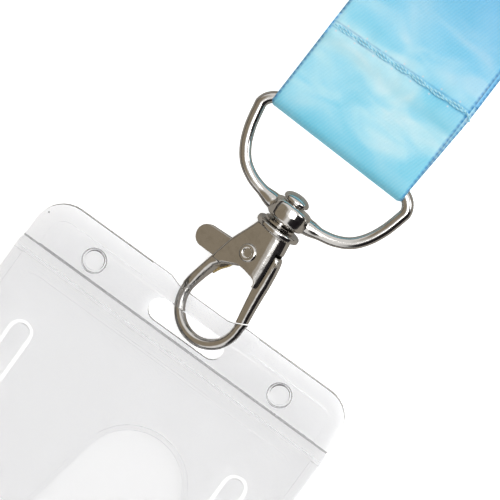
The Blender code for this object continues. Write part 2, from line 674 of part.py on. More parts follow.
def side_profile(bar_height):
    """Outer outline of the strap from the side, and the eye that the bar passes through."""
    wrap = FOLD_INNER + STRAP_THICK
    ys = [0.0, 1.5, 3.0, 4.5, 6.0, 7.5, 9.0, 10.5, 11.5, 12.5, 14.0, 17.0, 20.0, 23.0, 26.0, STRAP_VIEW_END]
    top = [(y, strap_middle(y, bar_height) + strap_half(y)) for y in ys]
    under = [(y, strap_middle(y, bar_height) - strap_half(y)) for y in ys]
    front = [(wrap * math.cos(math.radians(a)), bar_height + wrap * math.sin(math.radians(a)))
             for a in range(105, 256, 15)]
    outer = under[::-1] + front[::-1] + top
    eye_end = 8.0
    eye = [(FOLD_INNER * math.cos(math.radians(a)), bar_height + FOLD_INNER * math.sin(math.radians(a)))
           for a in range(60, 301, 20)]
    for y in (3.0, 5.0, eye_end):
        gap = FOLD_INNER * 0.85 * (1.0 - y / (eye_end + 0.4))
        eye.append((y, strap_middle(y, bar_height) - gap))
    for y in (5.0, 3.0):
        gap = FOLD_INNER * 0.85 * (1.0 - y / (eye_end + 0.4))
        eye.append((y, strap_middle(y, bar_height) + gap))
    return outer, eye


def build_strap_loop(parts, frame, bar_height):
    """The strap's end folded round the ring's bar, its seam stack and the runs beyond it."""
    outer, eye = side_profile(bar_height)
    loop = prism("strap_end_loop", [outer, eye], -STRAP_WIDTH / 2, STRAP_WIDTH / 2, parts, frame)
    for vert in loop.data.vertices:
        y, z, x = vert.co
        half = STRAP_FOLD_WIDTH + (STRAP_WIDTH - STRAP_FOLD_WIDTH) * smoothstep((y / MM - 3.0) / 6.0)
        vert.co = (math.copysign(half / 2 * MM, x), y, z)
    return loop


def build_hank(parts, frame):
    """The rest of the strap, folded back and forth into a hank in line with it."""
    low = STRAP_VIEW_END + FIT_GAP
    outline = rounded_box(HANK_LENGTH / 2, 0.0, HANK_HEIGHT, HANK_ROUND, 4)
    hank = prism("strap_hank", [outline], -STRAP_WIDTH / 2, STRAP_WIDTH / 2, parts, frame)
    for vert in hank.data.vertices:
        y, z, x = vert.co
        vert.co = (x, y + (low + HANK_LENGTH / 2) * MM, z + HANK_LIFT * MM)
    return hank


def build_tie(parts, frame):
    """The elastic band round the middle of the hank."""
    half = STRAP_WIDTH / 2 + FIT_GAP
    outer = rounded_box(half + TIE_THICK, -TIE_THICK - FIT_GAP, HANK_HEIGHT + TIE_THICK + FIT_GAP, 1.6, 4)
    inner = rounded_box(half, -FIT_GAP, HANK_HEIGHT + FIT_GAP, 1.0, 4)
    tie = prism("hank_tie", [outer, inner], -TIE_LENGTH / 2, TIE_LENGTH / 2, parts, frame)
    middle = STRAP_VIEW_END + FIT_GAP + HANK_LENGTH / 2
    for vert in tie.data.vertices:
        x, z, y = vert.co
        vert.co = (-x, y + middle * MM, z + HANK_LIFT * MM)
    return tie


def build_thread(name, side, parts, frame, bar_height):
    """One thread of the seam: it lies along the face and dips at each stitch."""
    count = int(2 * SEAM_HALF / STITCH)
    points = []
    for step in range(count * 4 + 1):
        x = -SEAM_HALF + 2 * SEAM_HALF * step / (count * 4)
        dip = 0.16 * abs(math.cos(math.pi * step / 4))
        surface = strap_middle(SEAM_Y, bar_height) + side * (strap_half(SEAM_Y) + 0.3 + THREAD_RADIUS)
        points.append((x, SEAM_Y, surface - side * (dip - 0.16)))
    return tube(name, points, THREAD_RADIUS, parts, frame, 2)


# ---------------------------------------------------------------- assembly

def make_frame(name, location, rotation, collection, order="XYZ", parent=None):
    """An empty that carries a group of pieces."""
    empty = add_object(name, None, collection, parent)
    empty.location = Vector(location) * MM
    empty.rotation_mode = order
    empty.rotation_euler = rotation
    return empty


def main():
    """Builds every piece."""
    clear_scene()
    parts = make_collection(COLLECTION)
    cutters = make_collection(CUTTERS)
    bar_x = BOSS_CENTRE[0] - BOSS_DISTANCE * math.sin(RING_YAW)
    bar_y = BOSS_CENTRE[1] + BOSS_DISTANCE * math.cos(RING_YAW)
    bar_height = BOSS_CENTRE[2]
    strap_length = STRAP_VIEW_END + FIT_GAP + HANK_LENGTH
    far_end = bar_y + strap_length * math.cos(RING_YAW) - STRAP_WIDTH / 2 * math.sin(RING_YAW)
    middle = (far_end - HOLDER_LENGTH / 2) / 2
    holder_frame = make_frame("holder_frame", (0.0, -middle, 0.0), (0, 0, 0), parts)
    ring_frame = make_frame("ring_frame", (bar_x, bar_y, bar_height), (0, 0, RING_YAW), parts, "XYZ",
                            holder_frame)
    strap_frame = make_frame("strap_frame", (bar_x, bar_y, 0.0), (0, 0, RING_YAW), parts, "XYZ",
                             holder_frame)
    hook_frame = make_frame("hook_frame", BOSS_CENTRE, (HOOK_PITCH, -HOOK_ROLL, HOOK_YAW), parts, "YXZ",
                            holder_frame)
    gate_frame = make_frame("gate_frame", (*PIVOT, 0.0), (0, 0, 0), parts, "XYZ", hook_frame)

    plated = make_material("nickel_plate", PLATING)
    clear = make_material("clear_plastic", CLEAR)
    satin = make_material("satin_ribbon", SATIN)
    thread = make_material("sewing_thread", THREAD)
    brass = make_material("brass_wire", BRASS)
    elastic = make_material("elastic_band", ELASTIC)

    pieces = [
        (build_rear_shell(parts, cutters, holder_frame), clear),
        (build_front_cover(parts, cutters, holder_frame), clear),
        (build_weld_pin("weld_pin_left", -1, parts, holder_frame), clear),
        (build_weld_pin("weld_pin_right", 1, parts, holder_frame), clear),
        (build_ring(parts, cutters, ring_frame), plated),
        (build_swivel_rivet(parts, hook_frame), plated),
        (build_swivel_washer(parts, hook_frame), plated),
        (build_hook_body(parts, cutters, hook_frame), plated),
        (build_pivot_rivet(parts, hook_frame), plated),
        (build_gate_lever(parts, cutters, gate_frame), plated),
        (build_gate_spring(parts, gate_frame), brass),
        (build_strap_loop(parts, strap_frame, bar_height), satin),
        (build_hank(parts, strap_frame), satin),
        (build_tie(parts, strap_frame), elastic),
        (build_thread("seam_needle_thread", 1, parts, strap_frame, bar_height), thread),
        (build_thread("seam_bobbin_thread", -1, parts, strap_frame, bar_height), thread),
    ]
    for obj, material in pieces:
        obj.data.materials.append(material)
        shade(obj)


main()
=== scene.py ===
"""Looks of the lanyard badge holder: satin ribbon with seam and hank, nickel swivel hook, clear holder."""

import json
import math

import bmesh
import bpy
from mathutils import Matrix, Vector


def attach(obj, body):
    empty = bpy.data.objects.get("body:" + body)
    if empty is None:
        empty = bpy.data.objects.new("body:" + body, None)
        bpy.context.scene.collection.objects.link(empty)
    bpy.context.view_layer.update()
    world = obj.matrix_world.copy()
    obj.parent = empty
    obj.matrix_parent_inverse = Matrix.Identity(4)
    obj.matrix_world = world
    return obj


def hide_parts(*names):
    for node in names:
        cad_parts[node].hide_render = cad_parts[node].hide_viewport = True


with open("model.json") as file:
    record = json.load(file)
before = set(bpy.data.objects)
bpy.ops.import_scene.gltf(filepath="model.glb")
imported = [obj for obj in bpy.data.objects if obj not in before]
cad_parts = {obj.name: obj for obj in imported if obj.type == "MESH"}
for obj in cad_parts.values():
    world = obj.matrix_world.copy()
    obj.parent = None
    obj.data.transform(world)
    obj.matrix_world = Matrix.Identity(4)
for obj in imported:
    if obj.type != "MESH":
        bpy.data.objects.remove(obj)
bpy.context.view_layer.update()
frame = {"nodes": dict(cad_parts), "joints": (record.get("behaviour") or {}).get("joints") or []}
MM = 0.001

# ---------------------------------------------------------------- places taken from the frame
JOINTS = {joint["name"]: joint for joint in frame["joints"]}
BOSS = Vector(JOINTS["hook_swivel"]["pos_m"])
BAR = Vector(JOINTS["ring_hinge"]["pos_m"])
POST_AXIS = Vector(JOINTS["hook_swivel"]["axis"]).normalized()
FRONT_AXIS = Vector(JOINTS["gate_hinge"]["axis"]).normalized()
SIDE_AXIS = POST_AXIS.cross(FRONT_AXIS).normalized()
BAR_AXIS = Vector(JOINTS["ring_hinge"]["axis"]).normalized()
STRAP_ACROSS = Vector((BAR_AXIS.x, BAR_AXIS.y, 0.0)).normalized()
STRAP_ALONG = Vector((-STRAP_ACROSS.y, STRAP_ACROSS.x, 0.0))

# ---------------------------------------------------------------- sizes, in millimetres
RIBBON_WIDTH = 25.0
RIBBON_FOLD_WIDTH = 24.9
UNDER_DRIFT = 0.6
RIBBON_THICK = 0.6
PAIR_GAP = 0.08
WRAP_INNER = 1.05
SEAM_Y = 14.4
TAIL_END = 16.6
BACK_END = 12.6
STRAP_FLAT_Y = 26.0
HANK_START = 41.0
HANK_FOLD = 78.0
HANK_LAYERS = 5
HANK_PITCH = 2.2
REST_HEIGHT = 0.06
STITCH = 3.4
SEAM_SLOPE = 0.065
SEAM_SHIFT = 0.1
THREAD_RADIUS = 0.18
SEAM_HALF = 11.9
HANK_RISE = 0.85
RISE_START = 31.0
RISE_LENGTH = 9.0
WRAP_LENGTH = 8.5
PATH_STEP = 0.4
PAIR_STEP = 0.6
TIE_MARGIN = 1.0
TIE_CORNER = 1.3
TIE_THICK = 0.7
TIE_LENGTH = 9.0
TIE_LOW = 0.42
TIE_SHIFT = 0.5

RING_HALF_WIDTH = 13.9
RING_SHIFT = 0.3
BOW = ((3.0, 0.1), (5.5, 0.4), (8.0, 1.05), (10.2, 2.35), (11.8, 4.4), (12.9, 6.9), (13.5, 9.2))
RING_WIRE = 0.95
RING_CORNER = 2.9
BOSS_DISTANCE = 13.3
BOSS_RADIUS = 3.3
BOSS_HALF = 1.65
BOSS_BORE = 1.55
BOSS_EDGE = 0.85
BOSS_CROWN = 0.1
ARM_FLARE = 0.4
ARM_FLARE_REACH = 2.6
POST_RADIUS = 1.15
POST_SOCKET = 1.45
POST_END = -5.0
HEAD_RADIUS = 2.15
HEAD_BASE = 2.0
HEAD_TOP = 3.35
HEAD_WALL = 0.35
WASHER = (1.45, 2.6, -2.3, -1.95)
FLANGE_RADIUS = 3.7
FLANGE_SHIFT = 0.22
FLANGE = (-3.35, -2.45)
HOUSING_HALF = 2.3
CHEEK_INNER = 1.35
LOOP_CENTRE = (-0.9, -19.1)
LOOP_RADIUS = 5.45
LOOP_WIRE = 0.88
PIVOT = (-0.6, -8.25)
RIVET_RADIUS = 0.95
LEVER_LAYER = (-0.2, 1.0)
LEVER_HUB = 2.0
LEVER_TIP = (-8.35, -10.75)
LEVER_HALF_WIDTH = 1.85
GATE_REACH = 10.82
NOSE_REACH = 10.98
SPRING_WIRE = 0.18
SPRING_RADIUS = 1.5
SPRING_TURNS = 1.5
SPRING_START = math.radians(-150.0)
SPRING_LOW = -1.1
SPRING_RISE = 0.6

# ---------------------------------------------------------------- softening of the castings
RING_VOXEL = 0.11
RING_PASSES = 10
HOOK_VOXEL = 0.11
HOOK_PASSES = 7
GATE_VOXEL = 0.09
GATE_PASSES = 5
SHARP_ANGLE = math.radians(38.0)
PLASTIC_EDGE = 0.14
PIN_EDGE = 0.1
EDGE_ANGLE = math.radians(30.0)

# ---------------------------------------------------------------- colours
# ribbon blue that varies at random; its lightest tones are painted sheen patches
SKY_BLUE_AND_SHEEN_PATCHES = [(0.34, (0.245, 0.71, 0.885)), (0.45, (0.355, 0.78, 0.93)), (0.54, (0.49, 0.86, 0.955)),
             (0.64, (0.65, 0.92, 0.97))]
BEYOND_BLUE = (0.17, 0.60, 0.96)
# painted shade: deeper blue where the ribbon turns round the bar
FOLD_PAINTED_SHADE = (0.15, 0.63, 0.83)
WEAVE_LIGHT = (0.70, 0.93, 0.98)
FIBRE_BLUE = (0.08, 0.46, 0.76)
# deeper blue of the woven selvedge, which also serves as painted shade along the top layer's edge
SELVEDGE_BLUE_AND_SHADE = (0.05, 0.30, 0.68)
# painted shade in the grooves on both sides of the seam
GROOVE_PAINTED_SHADE = (0.03, 0.28, 0.52)
HOLE_PALE = (0.82, 0.78, 0.82)
THREAD_DARK = (0.20, 0.60, 0.82)
THREAD_LIGHT = (0.50, 0.84, 0.95)
NICKEL_TONES = [(0.3, (0.66, 0.635, 0.60)), (0.55, (0.74, 0.715, 0.68)), (0.8, (0.70, 0.675, 0.645))]
BRASS_TONES = [(0.3, (0.62, 0.47, 0.22)), (0.7, (0.83, 0.68, 0.38))]
FRONT_TINT = (0.785, 0.785, 0.79)
REAR_TINT = (0.998, 0.998, 1.0)
# painted shade: greys for the steep walls of the clear plastic, standing for its dark refracted edges
WALL_PAINTED_SHADES = [(0.14, (0.70, 0.70, 0.71)), (0.32, (0.60, 0.60, 0.61)), (0.7, (0.48, 0.48, 0.49))]
MOTTLE_GREY = (0.6, 0.61, 0.62)
DUST_GREY = (0.35, 0.35, 0.34)
ELASTIC_DARK = (0.62, 0.66, 0.70)
ELASTIC_LIGHT = (0.84, 0.86, 0.88)
# painted reflection: the colour and the dimming that polished surfaces see on the table
TABLE_PAINTED_REFLECTION = (0.26, 0.235, 0.20)
TABLE_GLOW = 0.72
TABLE_REFLECTION_DIMMING = -0.62

# ---------------------------------------------------------------- room: direction, where it fades, colour
BROWN_WALL = ((-0.72, -0.30, 0.62), 0.66, 0.85, (0.34, 0.29, 0.22))
DARK_WALL = ((0.78, -0.22, 0.50), 0.72, 0.86, (0.015, 0.013, 0.015))
HORIZON = ((0.0, 0.0, -1.0), -0.30, -0.12, (0.02, 0.02, 0.022))
ROOM_WHITE = (1.0, 1.0, 1.0)
ROOM_STRENGTH = 0.85
HORIZON_THROUGH = -0.85

# ---------------------------------------------------------------- camera
VIEW_WIDTH = 76.0
VIEW_ANGLE = math.radians(6.0)
VIEW_TURN = math.radians(53.8)
VIEW_TILT = math.radians(6.5)
BOSS_RIGHT = 5.78
BOSS_UP = 5.62


def make_camera():
    """The camera above the object, turned so that the holder points down to the left."""
    back = Vector((0.0, math.sin(VIEW_TILT), math.cos(VIEW_TILT)))
    right = Vector((math.sin(VIEW_TURN), math.cos(VIEW_TURN), 0.0))
    right = (right - back * right.dot(back)).normalized()
    up = back.cross(right)
    target = BOSS - (right * BOSS_RIGHT + up * BOSS_UP) * MM
    distance = VIEW_WIDTH / 2 * MM / math.tan(VIEW_ANGLE / 2)
    data = bpy.data.cameras.new("camera")
    data.angle = VIEW_ANGLE
    data.clip_start = 0.01
    data.clip_end = 20.0
    camera = bpy.data.objects.new("camera", data)
    bpy.context.scene.collection.objects.link(camera)
    rotation = Matrix((right, up, back)).transposed().to_4x4()
    camera.matrix_world = Matrix.Translation(target + back * distance) @ rotation
    bpy.context.scene.camera = camera


# ---------------------------------------------------------------- node helpers

class Shade:
    """A material under construction: short names for adding and joining nodes."""

    def __init__(self, name):
        self.material = bpy.data.materials.new(name)
        self.material.use_nodes = True
        self.tree = self.material.node_tree
        self.shader = self.tree.nodes["Principled BSDF"]

    def add(self, kind, inputs=None, **settings):
        """A node with its settings and inputs; an input given as a socket is linked."""
        node = self.tree.nodes.new(kind)
        for key, value in settings.items():
            setattr(node, key, value)
        for key, value in (inputs or {}).items():
            self.put(node, key, value)
        return node

    def put(self, node, key, value):
        """Sets an input or links it."""
        if isinstance(value, bpy.types.NodeSocket):
            self.tree.links.new(value, node.inputs[key])
        else:
            node.inputs[key].default_value = value

    def set(self, **values):
        """Inputs of the Principled shader; underscores stand for spaces."""
        for key, value in values.items():
            self.put(self.shader, key.replace("_", " "), value)
        return self

    def math(self, operation, a, b=0.0, c=0.0):
        """A Math node's output."""
        return self.add("ShaderNodeMath", {0: a, 1: b, 2: c}, operation=operation).outputs[0]

    def plus(self, a, b):
        """A sum."""
        return self.math("ADD", a, b)

    def minus(self, a, b):
        """A difference."""
        return self.math("SUBTRACT", a, b)

    def times(self, a, b):
        """A product."""
        return self.math("MULTIPLY", a, b)

    def wave(self, value):
        """A sine wave between 0 and 1."""
        return self.math("MULTIPLY_ADD", self.math("SINE", value), 0.5, 0.5)

    def noise(self, vector, scale, detail=3.0, rough=0.5, distortion=0.0):
        """A noise texture's value."""
        inputs = {"Vector": vector, "Scale": scale, "Detail": detail, "Roughness": rough,
                  "Distortion": distortion}
        return self.add("ShaderNodeTexNoise", inputs).outputs["Fac"]

    def ramp(self, value, stops):
        """A colour ramp's colour, from (position, colour) stops."""
        node = self.add("ShaderNodeValToRGB", {"Fac": value})
        elements = node.color_ramp.elements
        while len(elements) < len(stops):
            elements.new(0.5)
        for element, (position, colour) in zip(elements, stops):
            element.position = position
            element.color = (*colour, 1.0)
        return node.outputs["Color"]

    def mix(self, factor, a, b):
        """A mix of two colours."""
        node = self.add("ShaderNodeMix", {"Factor": factor}, data_type="RGBA")
        self.put(node, 6, a if isinstance(a, bpy.types.NodeSocket) else (*a, 1.0))
        self.put(node, 7, b if isinstance(b, bpy.types.NodeSocket) else (*b, 1.0))
        return node.outputs[2]

    def place(self, kind="Object"):
        """Texture coordinates."""
        return self.add("ShaderNodeTexCoord").outputs[kind]

    def bump(self, height, strength, distance, normal=None):
        """A bump node's normal."""
        inputs = {"Height": height, "Strength": strength, "Distance": distance}
        if normal is not None:
            inputs["Normal"] = normal
        return self.add("ShaderNodeBump", inputs).outputs["Normal"]


def grey(level):
    """A neutral colour."""
    return (level, level, level)


# ---------------------------------------------------------------- materials

def nickel_material():
    """Polished nickel plate: warm grey, with faint cast waviness, wipe marks and duller pits."""
    s = Shade("nickel")
    place = s.place()
    waviness = s.noise(place, 420.0, 2.0)
    fine = s.noise(place, 5200.0, 3.0, 0.6)
    smudge = s.noise(place, 900.0, 4.0, 0.6, 0.4)
    colour = s.ramp(smudge, NICKEL_TONES)
    rough = s.math("MULTIPLY_ADD", smudge, 0.10, 0.06)
    rough = s.plus(rough, s.times(fine, 0.05))
    normal = s.bump(fine, 0.10, 0.00002, s.bump(waviness, 0.12, 0.0003))
    s.set(Base_Color=colour, Metallic=1.0, Roughness=rough, Normal=normal)
    return s.material


def brass_material():
    """Drawn brass wire."""
    s = Shade("brass")
    place = s.place()
    tone = s.noise(place, 2600.0, 3.0)
    colour = s.ramp(tone, BRASS_TONES)
    s.set(Base_Color=colour, Metallic=1.0, Roughness=s.math("MULTIPLY_ADD", tone, 0.15, 0.2),
          Normal=s.bump(tone, 0.2, 0.00003))
    return s.material


def plastic_material(name, face, frost, index):
    """Clear moulded plastic, greyer on its steep walls by painted shade, with flow marks, hairline scratches
    and specks of dust.
    """
    s = Shade(name)
    place = s.place()
    flow = s.noise(place, 55.0, 3.0, 0.55, 0.6)
    hair = s.add("ShaderNodeMapping", {"Vector": place, "Scale": (900.0, 60.0, 60.0),
                                       "Rotation": (0.0, 0.0, 0.6)})
    scratch = s.noise(hair.outputs["Vector"], 3.0, 2.0, 0.7)
    scratch_line = s.ramp(scratch, [(0.62, grey(0.0)), (0.68, grey(1.0))])
    dust_cell = s.add("ShaderNodeTexVoronoi", {"Vector": place, "Scale": 260.0, "Randomness": 1.0})
    dust = s.ramp(dust_cell.outputs["Distance"], [(0.030, grey(1.0)), (0.045, grey(0.0))])
    rare = s.ramp(s.noise(place, 210.0, 2.0), [(0.60, grey(0.0)), (0.64, grey(1.0))])
    speck = s.times(dust, rare)
    upward = s.add("ShaderNodeSeparateXYZ", {"Vector": s.place("Normal")}).outputs["Z"]
    steep = s.minus(1.0, s.math("ABSOLUTE", upward))
    # painted shade: the steeper the face, the greyer the clear plastic
    tint_and_wall_shade = s.ramp(steep, [(0.03, face)] + WALL_PAINTED_SHADES)
    mottle = s.noise(place, 620.0, 2.0, 0.6)
    tint_and_wall_shade = s.mix(s.times(mottle, 0.05), tint_and_wall_shade, MOTTLE_GREY)
    colour = s.mix(speck, tint_and_wall_shade, DUST_GREY)
    rough = s.math("MULTIPLY_ADD", flow, 0.03, frost)
    rough = s.plus(rough, s.times(scratch_line, 0.10))
    normal = s.bump(scratch_line, 0.05, 0.00002, s.bump(flow, 0.10, 0.0006))
    s.set(Base_Color=colour, Roughness=rough, Normal=normal, Transmission_Weight=1.0, IOR=index)
    return s.material


def ribbon_material(fold_at, seam_at):
    """Printed satin: fine diagonal weave, a soft sheen, cloudy sky blue with painted sheen patches, and
    painted shade that makes it deeper on the fold and beside the seam.
    """
    s = Shade("satin_ribbon")
    uv = s.add("ShaderNodeUVMap", uv_map="ribbon").outputs["UV"]
    split = s.add("ShaderNodeSeparateXYZ", {"Vector": uv})
    across = split.outputs["X"]
    along = split.outputs["Y"]
    seam_start = seam_at + SEAM_SHIFT - SEAM_SLOPE * RIBBON_WIDTH / 2
    off_seam = s.minus(along, s.math("MULTIPLY_ADD", across, SEAM_SLOPE, seam_start))

    def bell(value, middle, width):
        """1 at the middle, falling off to both sides."""
        off = s.math("DIVIDE", s.minus(value, middle), width)
        return s.math("POWER", 2.718, s.times(s.times(off, off), -1.0))

    cloud_map = s.add("ShaderNodeMapping", {"Vector": uv, "Scale": (0.045, 0.085, 1.0),
                                            "Rotation": (0.0, 0.0, 0.5)})
    # cloudy blue ground whose lighter patches are painted sheen
    cloud = s.noise(cloud_map.outputs["Vector"], 2.3, 2.5, 0.45, 0.5)
    tone = s.ramp(cloud, SKY_BLUE_AND_SHEEN_PATCHES)
    beyond = s.math("MULTIPLY_ADD", s.minus(along, seam_at + 2.0), 0.055,
                    s.times(across, 0.012))
    beyond = s.add("ShaderNodeClamp", {"Value": beyond}).outputs["Result"]
    tone = s.mix(s.times(beyond, 0.8), tone, BEYOND_BLUE)
    # painted shade: deeper blue on the fold round the bar
    fold = s.times(bell(along, fold_at + 1.5, 2.6), 0.85)
    tone = s.mix(fold, tone, FOLD_PAINTED_SHADE)
    diagonal = s.minus(s.times(across, 12.5), s.times(along, 3.5))
    ripple = s.noise(uv, 0.9, 2.0)
    twill = s.wave(s.plus(diagonal, s.times(ripple, 3.0)))
    crossing = s.times(s.wave(s.times(across, 16.0)), s.wave(s.times(along, 14.0)))
    weave = s.plus(s.times(twill, 0.65), s.times(crossing, 0.35))
    fibre_map = s.add("ShaderNodeMapping", {"Vector": uv, "Scale": (4.0, 1.2, 1.0),
                                            "Rotation": (0.0, 0.0, 0.9)})
    fibre = s.noise(fibre_map.outputs["Vector"], 1.0, 4.0, 0.7)
    shaded = s.mix(s.times(weave, 0.15), tone, WEAVE_LIGHT)
    shaded = s.mix(s.times(fibre, 0.24), shaded, FIBRE_BLUE)
    off_middle = s.math("ABSOLUTE", s.minus(across, RIBBON_WIDTH / 2))
    edge = s.math("DIVIDE", off_middle, RIBBON_WIDTH / 2)
    # woven selvedge with knots in deeper blue; it doubles as painted shade along the layers' edges
    selvedge = s.ramp(edge, [(0.955, grey(0.0)), (0.985, grey(1.0))])
    knots = s.math("MULTIPLY_ADD", s.math("SINE", s.times(along, 7.0)), 0.25, 0.65)
    shaded = s.mix(s.times(selvedge, knots), shaded, SELVEDGE_BLUE_AND_SHADE)
    # painted shade along both sides of the seam groove
    groove = s.plus(bell(off_seam, -0.45, 0.17), bell(off_seam, 0.45, 0.17))
    uneven = s.math("MULTIPLY_ADD", s.noise(uv, 1.1, 2.0), 1.2, -0.1)
    shaded = s.mix(s.times(s.times(groove, uneven), 0.75), shaded, GROOVE_PAINTED_SHADE)
    step = s.minus(s.math("FRACT", s.math("DIVIDE", across, STITCH)), 0.5)
    holes = s.plus(s.times(bell(off_seam, -0.85, 0.12), bell(step, -0.12, 0.04)),
                   s.times(bell(off_seam, 0.85, 0.12), bell(step, 0.2, 0.04)))
    shaded = s.mix(s.times(holes, 0.85), shaded, HOLE_PALE)
    height = s.plus(weave, s.times(fibre, 0.8))
    s.set(Base_Color=shaded, Roughness=s.math("MULTIPLY_ADD", weave, 0.12, 0.42),
          Normal=s.bump(height, 0.35, 0.00006), Sheen_Weight=0.25, Sheen_Roughness=0.35,
          Sheen_Tint=(0.75, 0.94, 1.0, 1.0), Specular_IOR_Level=0.4)
    return s.material


def thread_material():
    """Twisted polyester thread, light cyan."""
    s = Shade("thread")
    uv = s.add("ShaderNodeUVMap", uv_map="thread").outputs["UV"]
    split = s.add("ShaderNodeSeparateXYZ", {"Vector": uv})
    round_it = s.times(split.outputs["X"], 12.566)
    twist = s.wave(s.plus(round_it, s.times(split.outputs["Y"], 9.0)))
    colour = s.mix(twist, THREAD_DARK, THREAD_LIGHT)
    s.set(Base_Color=colour, Roughness=0.5, Normal=s.bump(twist, 0.4, 0.00004), Sheen_Weight=0.3)
    return s.material


def elastic_material():
    """Woven elastic: ribs across the band with a faint weave."""
    s = Shade("elastic")
    place = s.place()
    split = s.add("ShaderNodeSeparateXYZ", {"Vector": place})
    rib = s.wave(s.times(split.outputs["Y"], 9000.0))
    weave = s.noise(place, 3500.0, 2.0)
    colour = s.mix(rib, ELASTIC_DARK, ELASTIC_LIGHT)
    s.set(Base_Color=colour, Roughness=0.85, Normal=s.bump(s.plus(rib, weave), 0.5, 0.0001))
    return s.material


def floor_material():
    """A plain white table top that glows like a light table; polished surfaces show it as a painted
    reflection, brown-grey and dimmer.
    """
    s = Shade("table")
    place = s.place()
    tone = s.ramp(s.noise(place, 3.0, 2.0), [(0.3, grey(0.94)), (0.7, grey(0.97))])
    light_path = s.add("ShaderNodeLightPath")
    through = s.minus(1.0, light_path.outputs["Is Transmission Ray"])
    # painted reflection: glossy rays see the table brown-grey and dimmer
    mirrored = s.times(light_path.outputs["Is Glossy Ray"], through)
    glow = s.math("MULTIPLY_ADD", mirrored, TABLE_REFLECTION_DIMMING, TABLE_GLOW)
    s.set(Base_Color=s.mix(mirrored, tone, TABLE_PAINTED_REFLECTION), Roughness=0.9, Specular_IOR_Level=0.1,
          Emission_Color=(1.0, 1.0, 1.0, 1.0), Emission_Strength=glow)
    return s.material


# ---------------------------------------------------------------- mesh helpers

def new_mesh(name, bm, material):
    """A smooth-shaded object from a bmesh."""
    mesh = bpy.data.meshes.new(name)
    bm.to_mesh(mesh)
    bm.free()
    if material:
        mesh.materials.append(material)
    mesh.shade_smooth()
    obj = bpy.data.objects.new(name, mesh)
    bpy.context.scene.collection.objects.link(obj)
    return obj


def smoothstep(value):
    """0 below 0, 1 above 1, smooth between."""
    value = min(max(value, 0.0), 1.0)
    return value * value * (3.0 - 2.0 * value)


def strap_point(x, y, z):
    """A point of the strap, in millimetres across, along and up, in the row frame."""
    return BAR + STRAP_ACROSS * x * MM + STRAP_ALONG * y * MM + Vector((0.0, 0.0, z * MM - BAR.z))


# ---------------------------------------------------------------- ribbon

def run_height(y):
    """Height of the middle of the two runs: at the bar behind the ring, then down to the table."""
    rest = REST_HEIGHT + RIBBON_THICK + PAIR_GAP / 2
    bar = BAR.z / MM
    third = (RIBBON_THICK + PAIR_GAP) * layer_three(y)
    rise = HANK_RISE * smoothstep((y - RISE_START) / RISE_LENGTH)
    return rest + third + rise + (bar - rest) * (1.0 - smoothstep(y / STRAP_FLAT_Y))


def layer_three(y):
    """1 where the third layer lies under the other two, 0 elsewhere, as a share for the upper two's lift."""
    return smoothstep((y - BACK_END + 2.5) / 3.0) * (1.0 - smoothstep((y - TAIL_END + 0.4) / 5.0))


def opening(y):
    """Half the distance between the middles of the two runs: open round the bar and closed further on."""
    closed = (RIBBON_THICK + PAIR_GAP) / 2
    return closed + (WRAP_INNER + RIBBON_THICK / 2 - closed) * (1.0 - smoothstep(y / WRAP_LENGTH))


def pair_path():
    """The middle of the two runs from the seam to the end of the hank, as (y, z) points."""
    points = []
    y = TAIL_END
    while y < HANK_START:
        points.append((y, run_height(y)))
        y += PAIR_STEP
    height = REST_HEIGHT + RIBBON_THICK + PAIR_GAP / 2 + HANK_RISE
    half = HANK_PITCH / 2
    for layer in range(HANK_LAYERS):
        out = layer % 2 == 0
        near = HANK_START + (2.4 if layer % 4 == 2 else 0.6)
        far = HANK_START + HANK_FOLD - (0.4 if layer % 4 == 0 else 2.2)
        start, end = (near, far) if out else (far, near)
        if layer == 0:
            start = HANK_START
        steps = 40
        for i in range(steps + 1):
            t = i / steps
            sag = 0.05 * math.sin(math.pi * t)
            points.append((start + (end - start) * t, height - sag))
        if layer < HANK_LAYERS - 1:
            sign = 1.0 if out else -1.0
            for i in range(1, 9):
                angle = math.pi * i / 9
                points.append((end + sign * half * 1.15 * math.sin(angle),
                               height + half * (1 - math.cos(angle))))
            height += HANK_PITCH
    return points


def offset_path(points, distance):
    """A path beside another one, to its left for a positive distance."""
    moved = []
    for i, (y, z) in enumerate(points):
        a = points[max(i - 1, 0)]
        b = points[min(i + 1, len(points) - 1)]
        dy, dz = b[0] - a[0], b[1] - a[1]
        length = math.hypot(dy, dz) or 1.0
        moved.append((y - dz / length * distance, z + dy / length * distance))
    return moved


def ribbon_path():
    """The whole ribbon's middle line in (y, z): tail, round the bar, front run, hank, back run, sewn end."""
    side = (RIBBON_THICK + PAIR_GAP) / 2
    path = []
    y = TAIL_END
    while y > 0.0:
        path.append((y, run_height(y) - opening(y)))
        y -= PATH_STEP
    centre = BAR.z / MM
    radius = WRAP_INNER + RIBBON_THICK / 2
    for i in range(21):
        angle = math.radians(270 - 180 * i / 20)
        path.append((radius * math.cos(angle), centre + radius * math.sin(angle)))
    y = PATH_STEP
    while y < TAIL_END:
        path.append((y, run_height(y) + opening(y)))
        y += PATH_STEP
    pair = pair_path()
    front = offset_path(pair, side)
    back = offset_path(pair, -side)
    path += front
    end_y, end_z = pair[-1]
    for i in range(1, 8):
        angle = math.pi * i / 8
        path.append((end_y + 1.1 * math.sin(angle), end_z + side * math.cos(angle)))
    path += back[::-1]
    y = TAIL_END - PATH_STEP
    while y > BACK_END:
        path.append((y, run_height(y) - opening(y) - (RIBBON_THICK + PAIR_GAP) * layer_three(y)))
        y -= PATH_STEP
    return path


def ribbon_shift(y, run):
    """Sideways offset of a run: the under layers drift to the right between the fold and the seam."""
    if run == "front":
        return 0.0
    return UNDER_DRIFT * min(max(y / SEAM_Y, 0.0), 1.0)


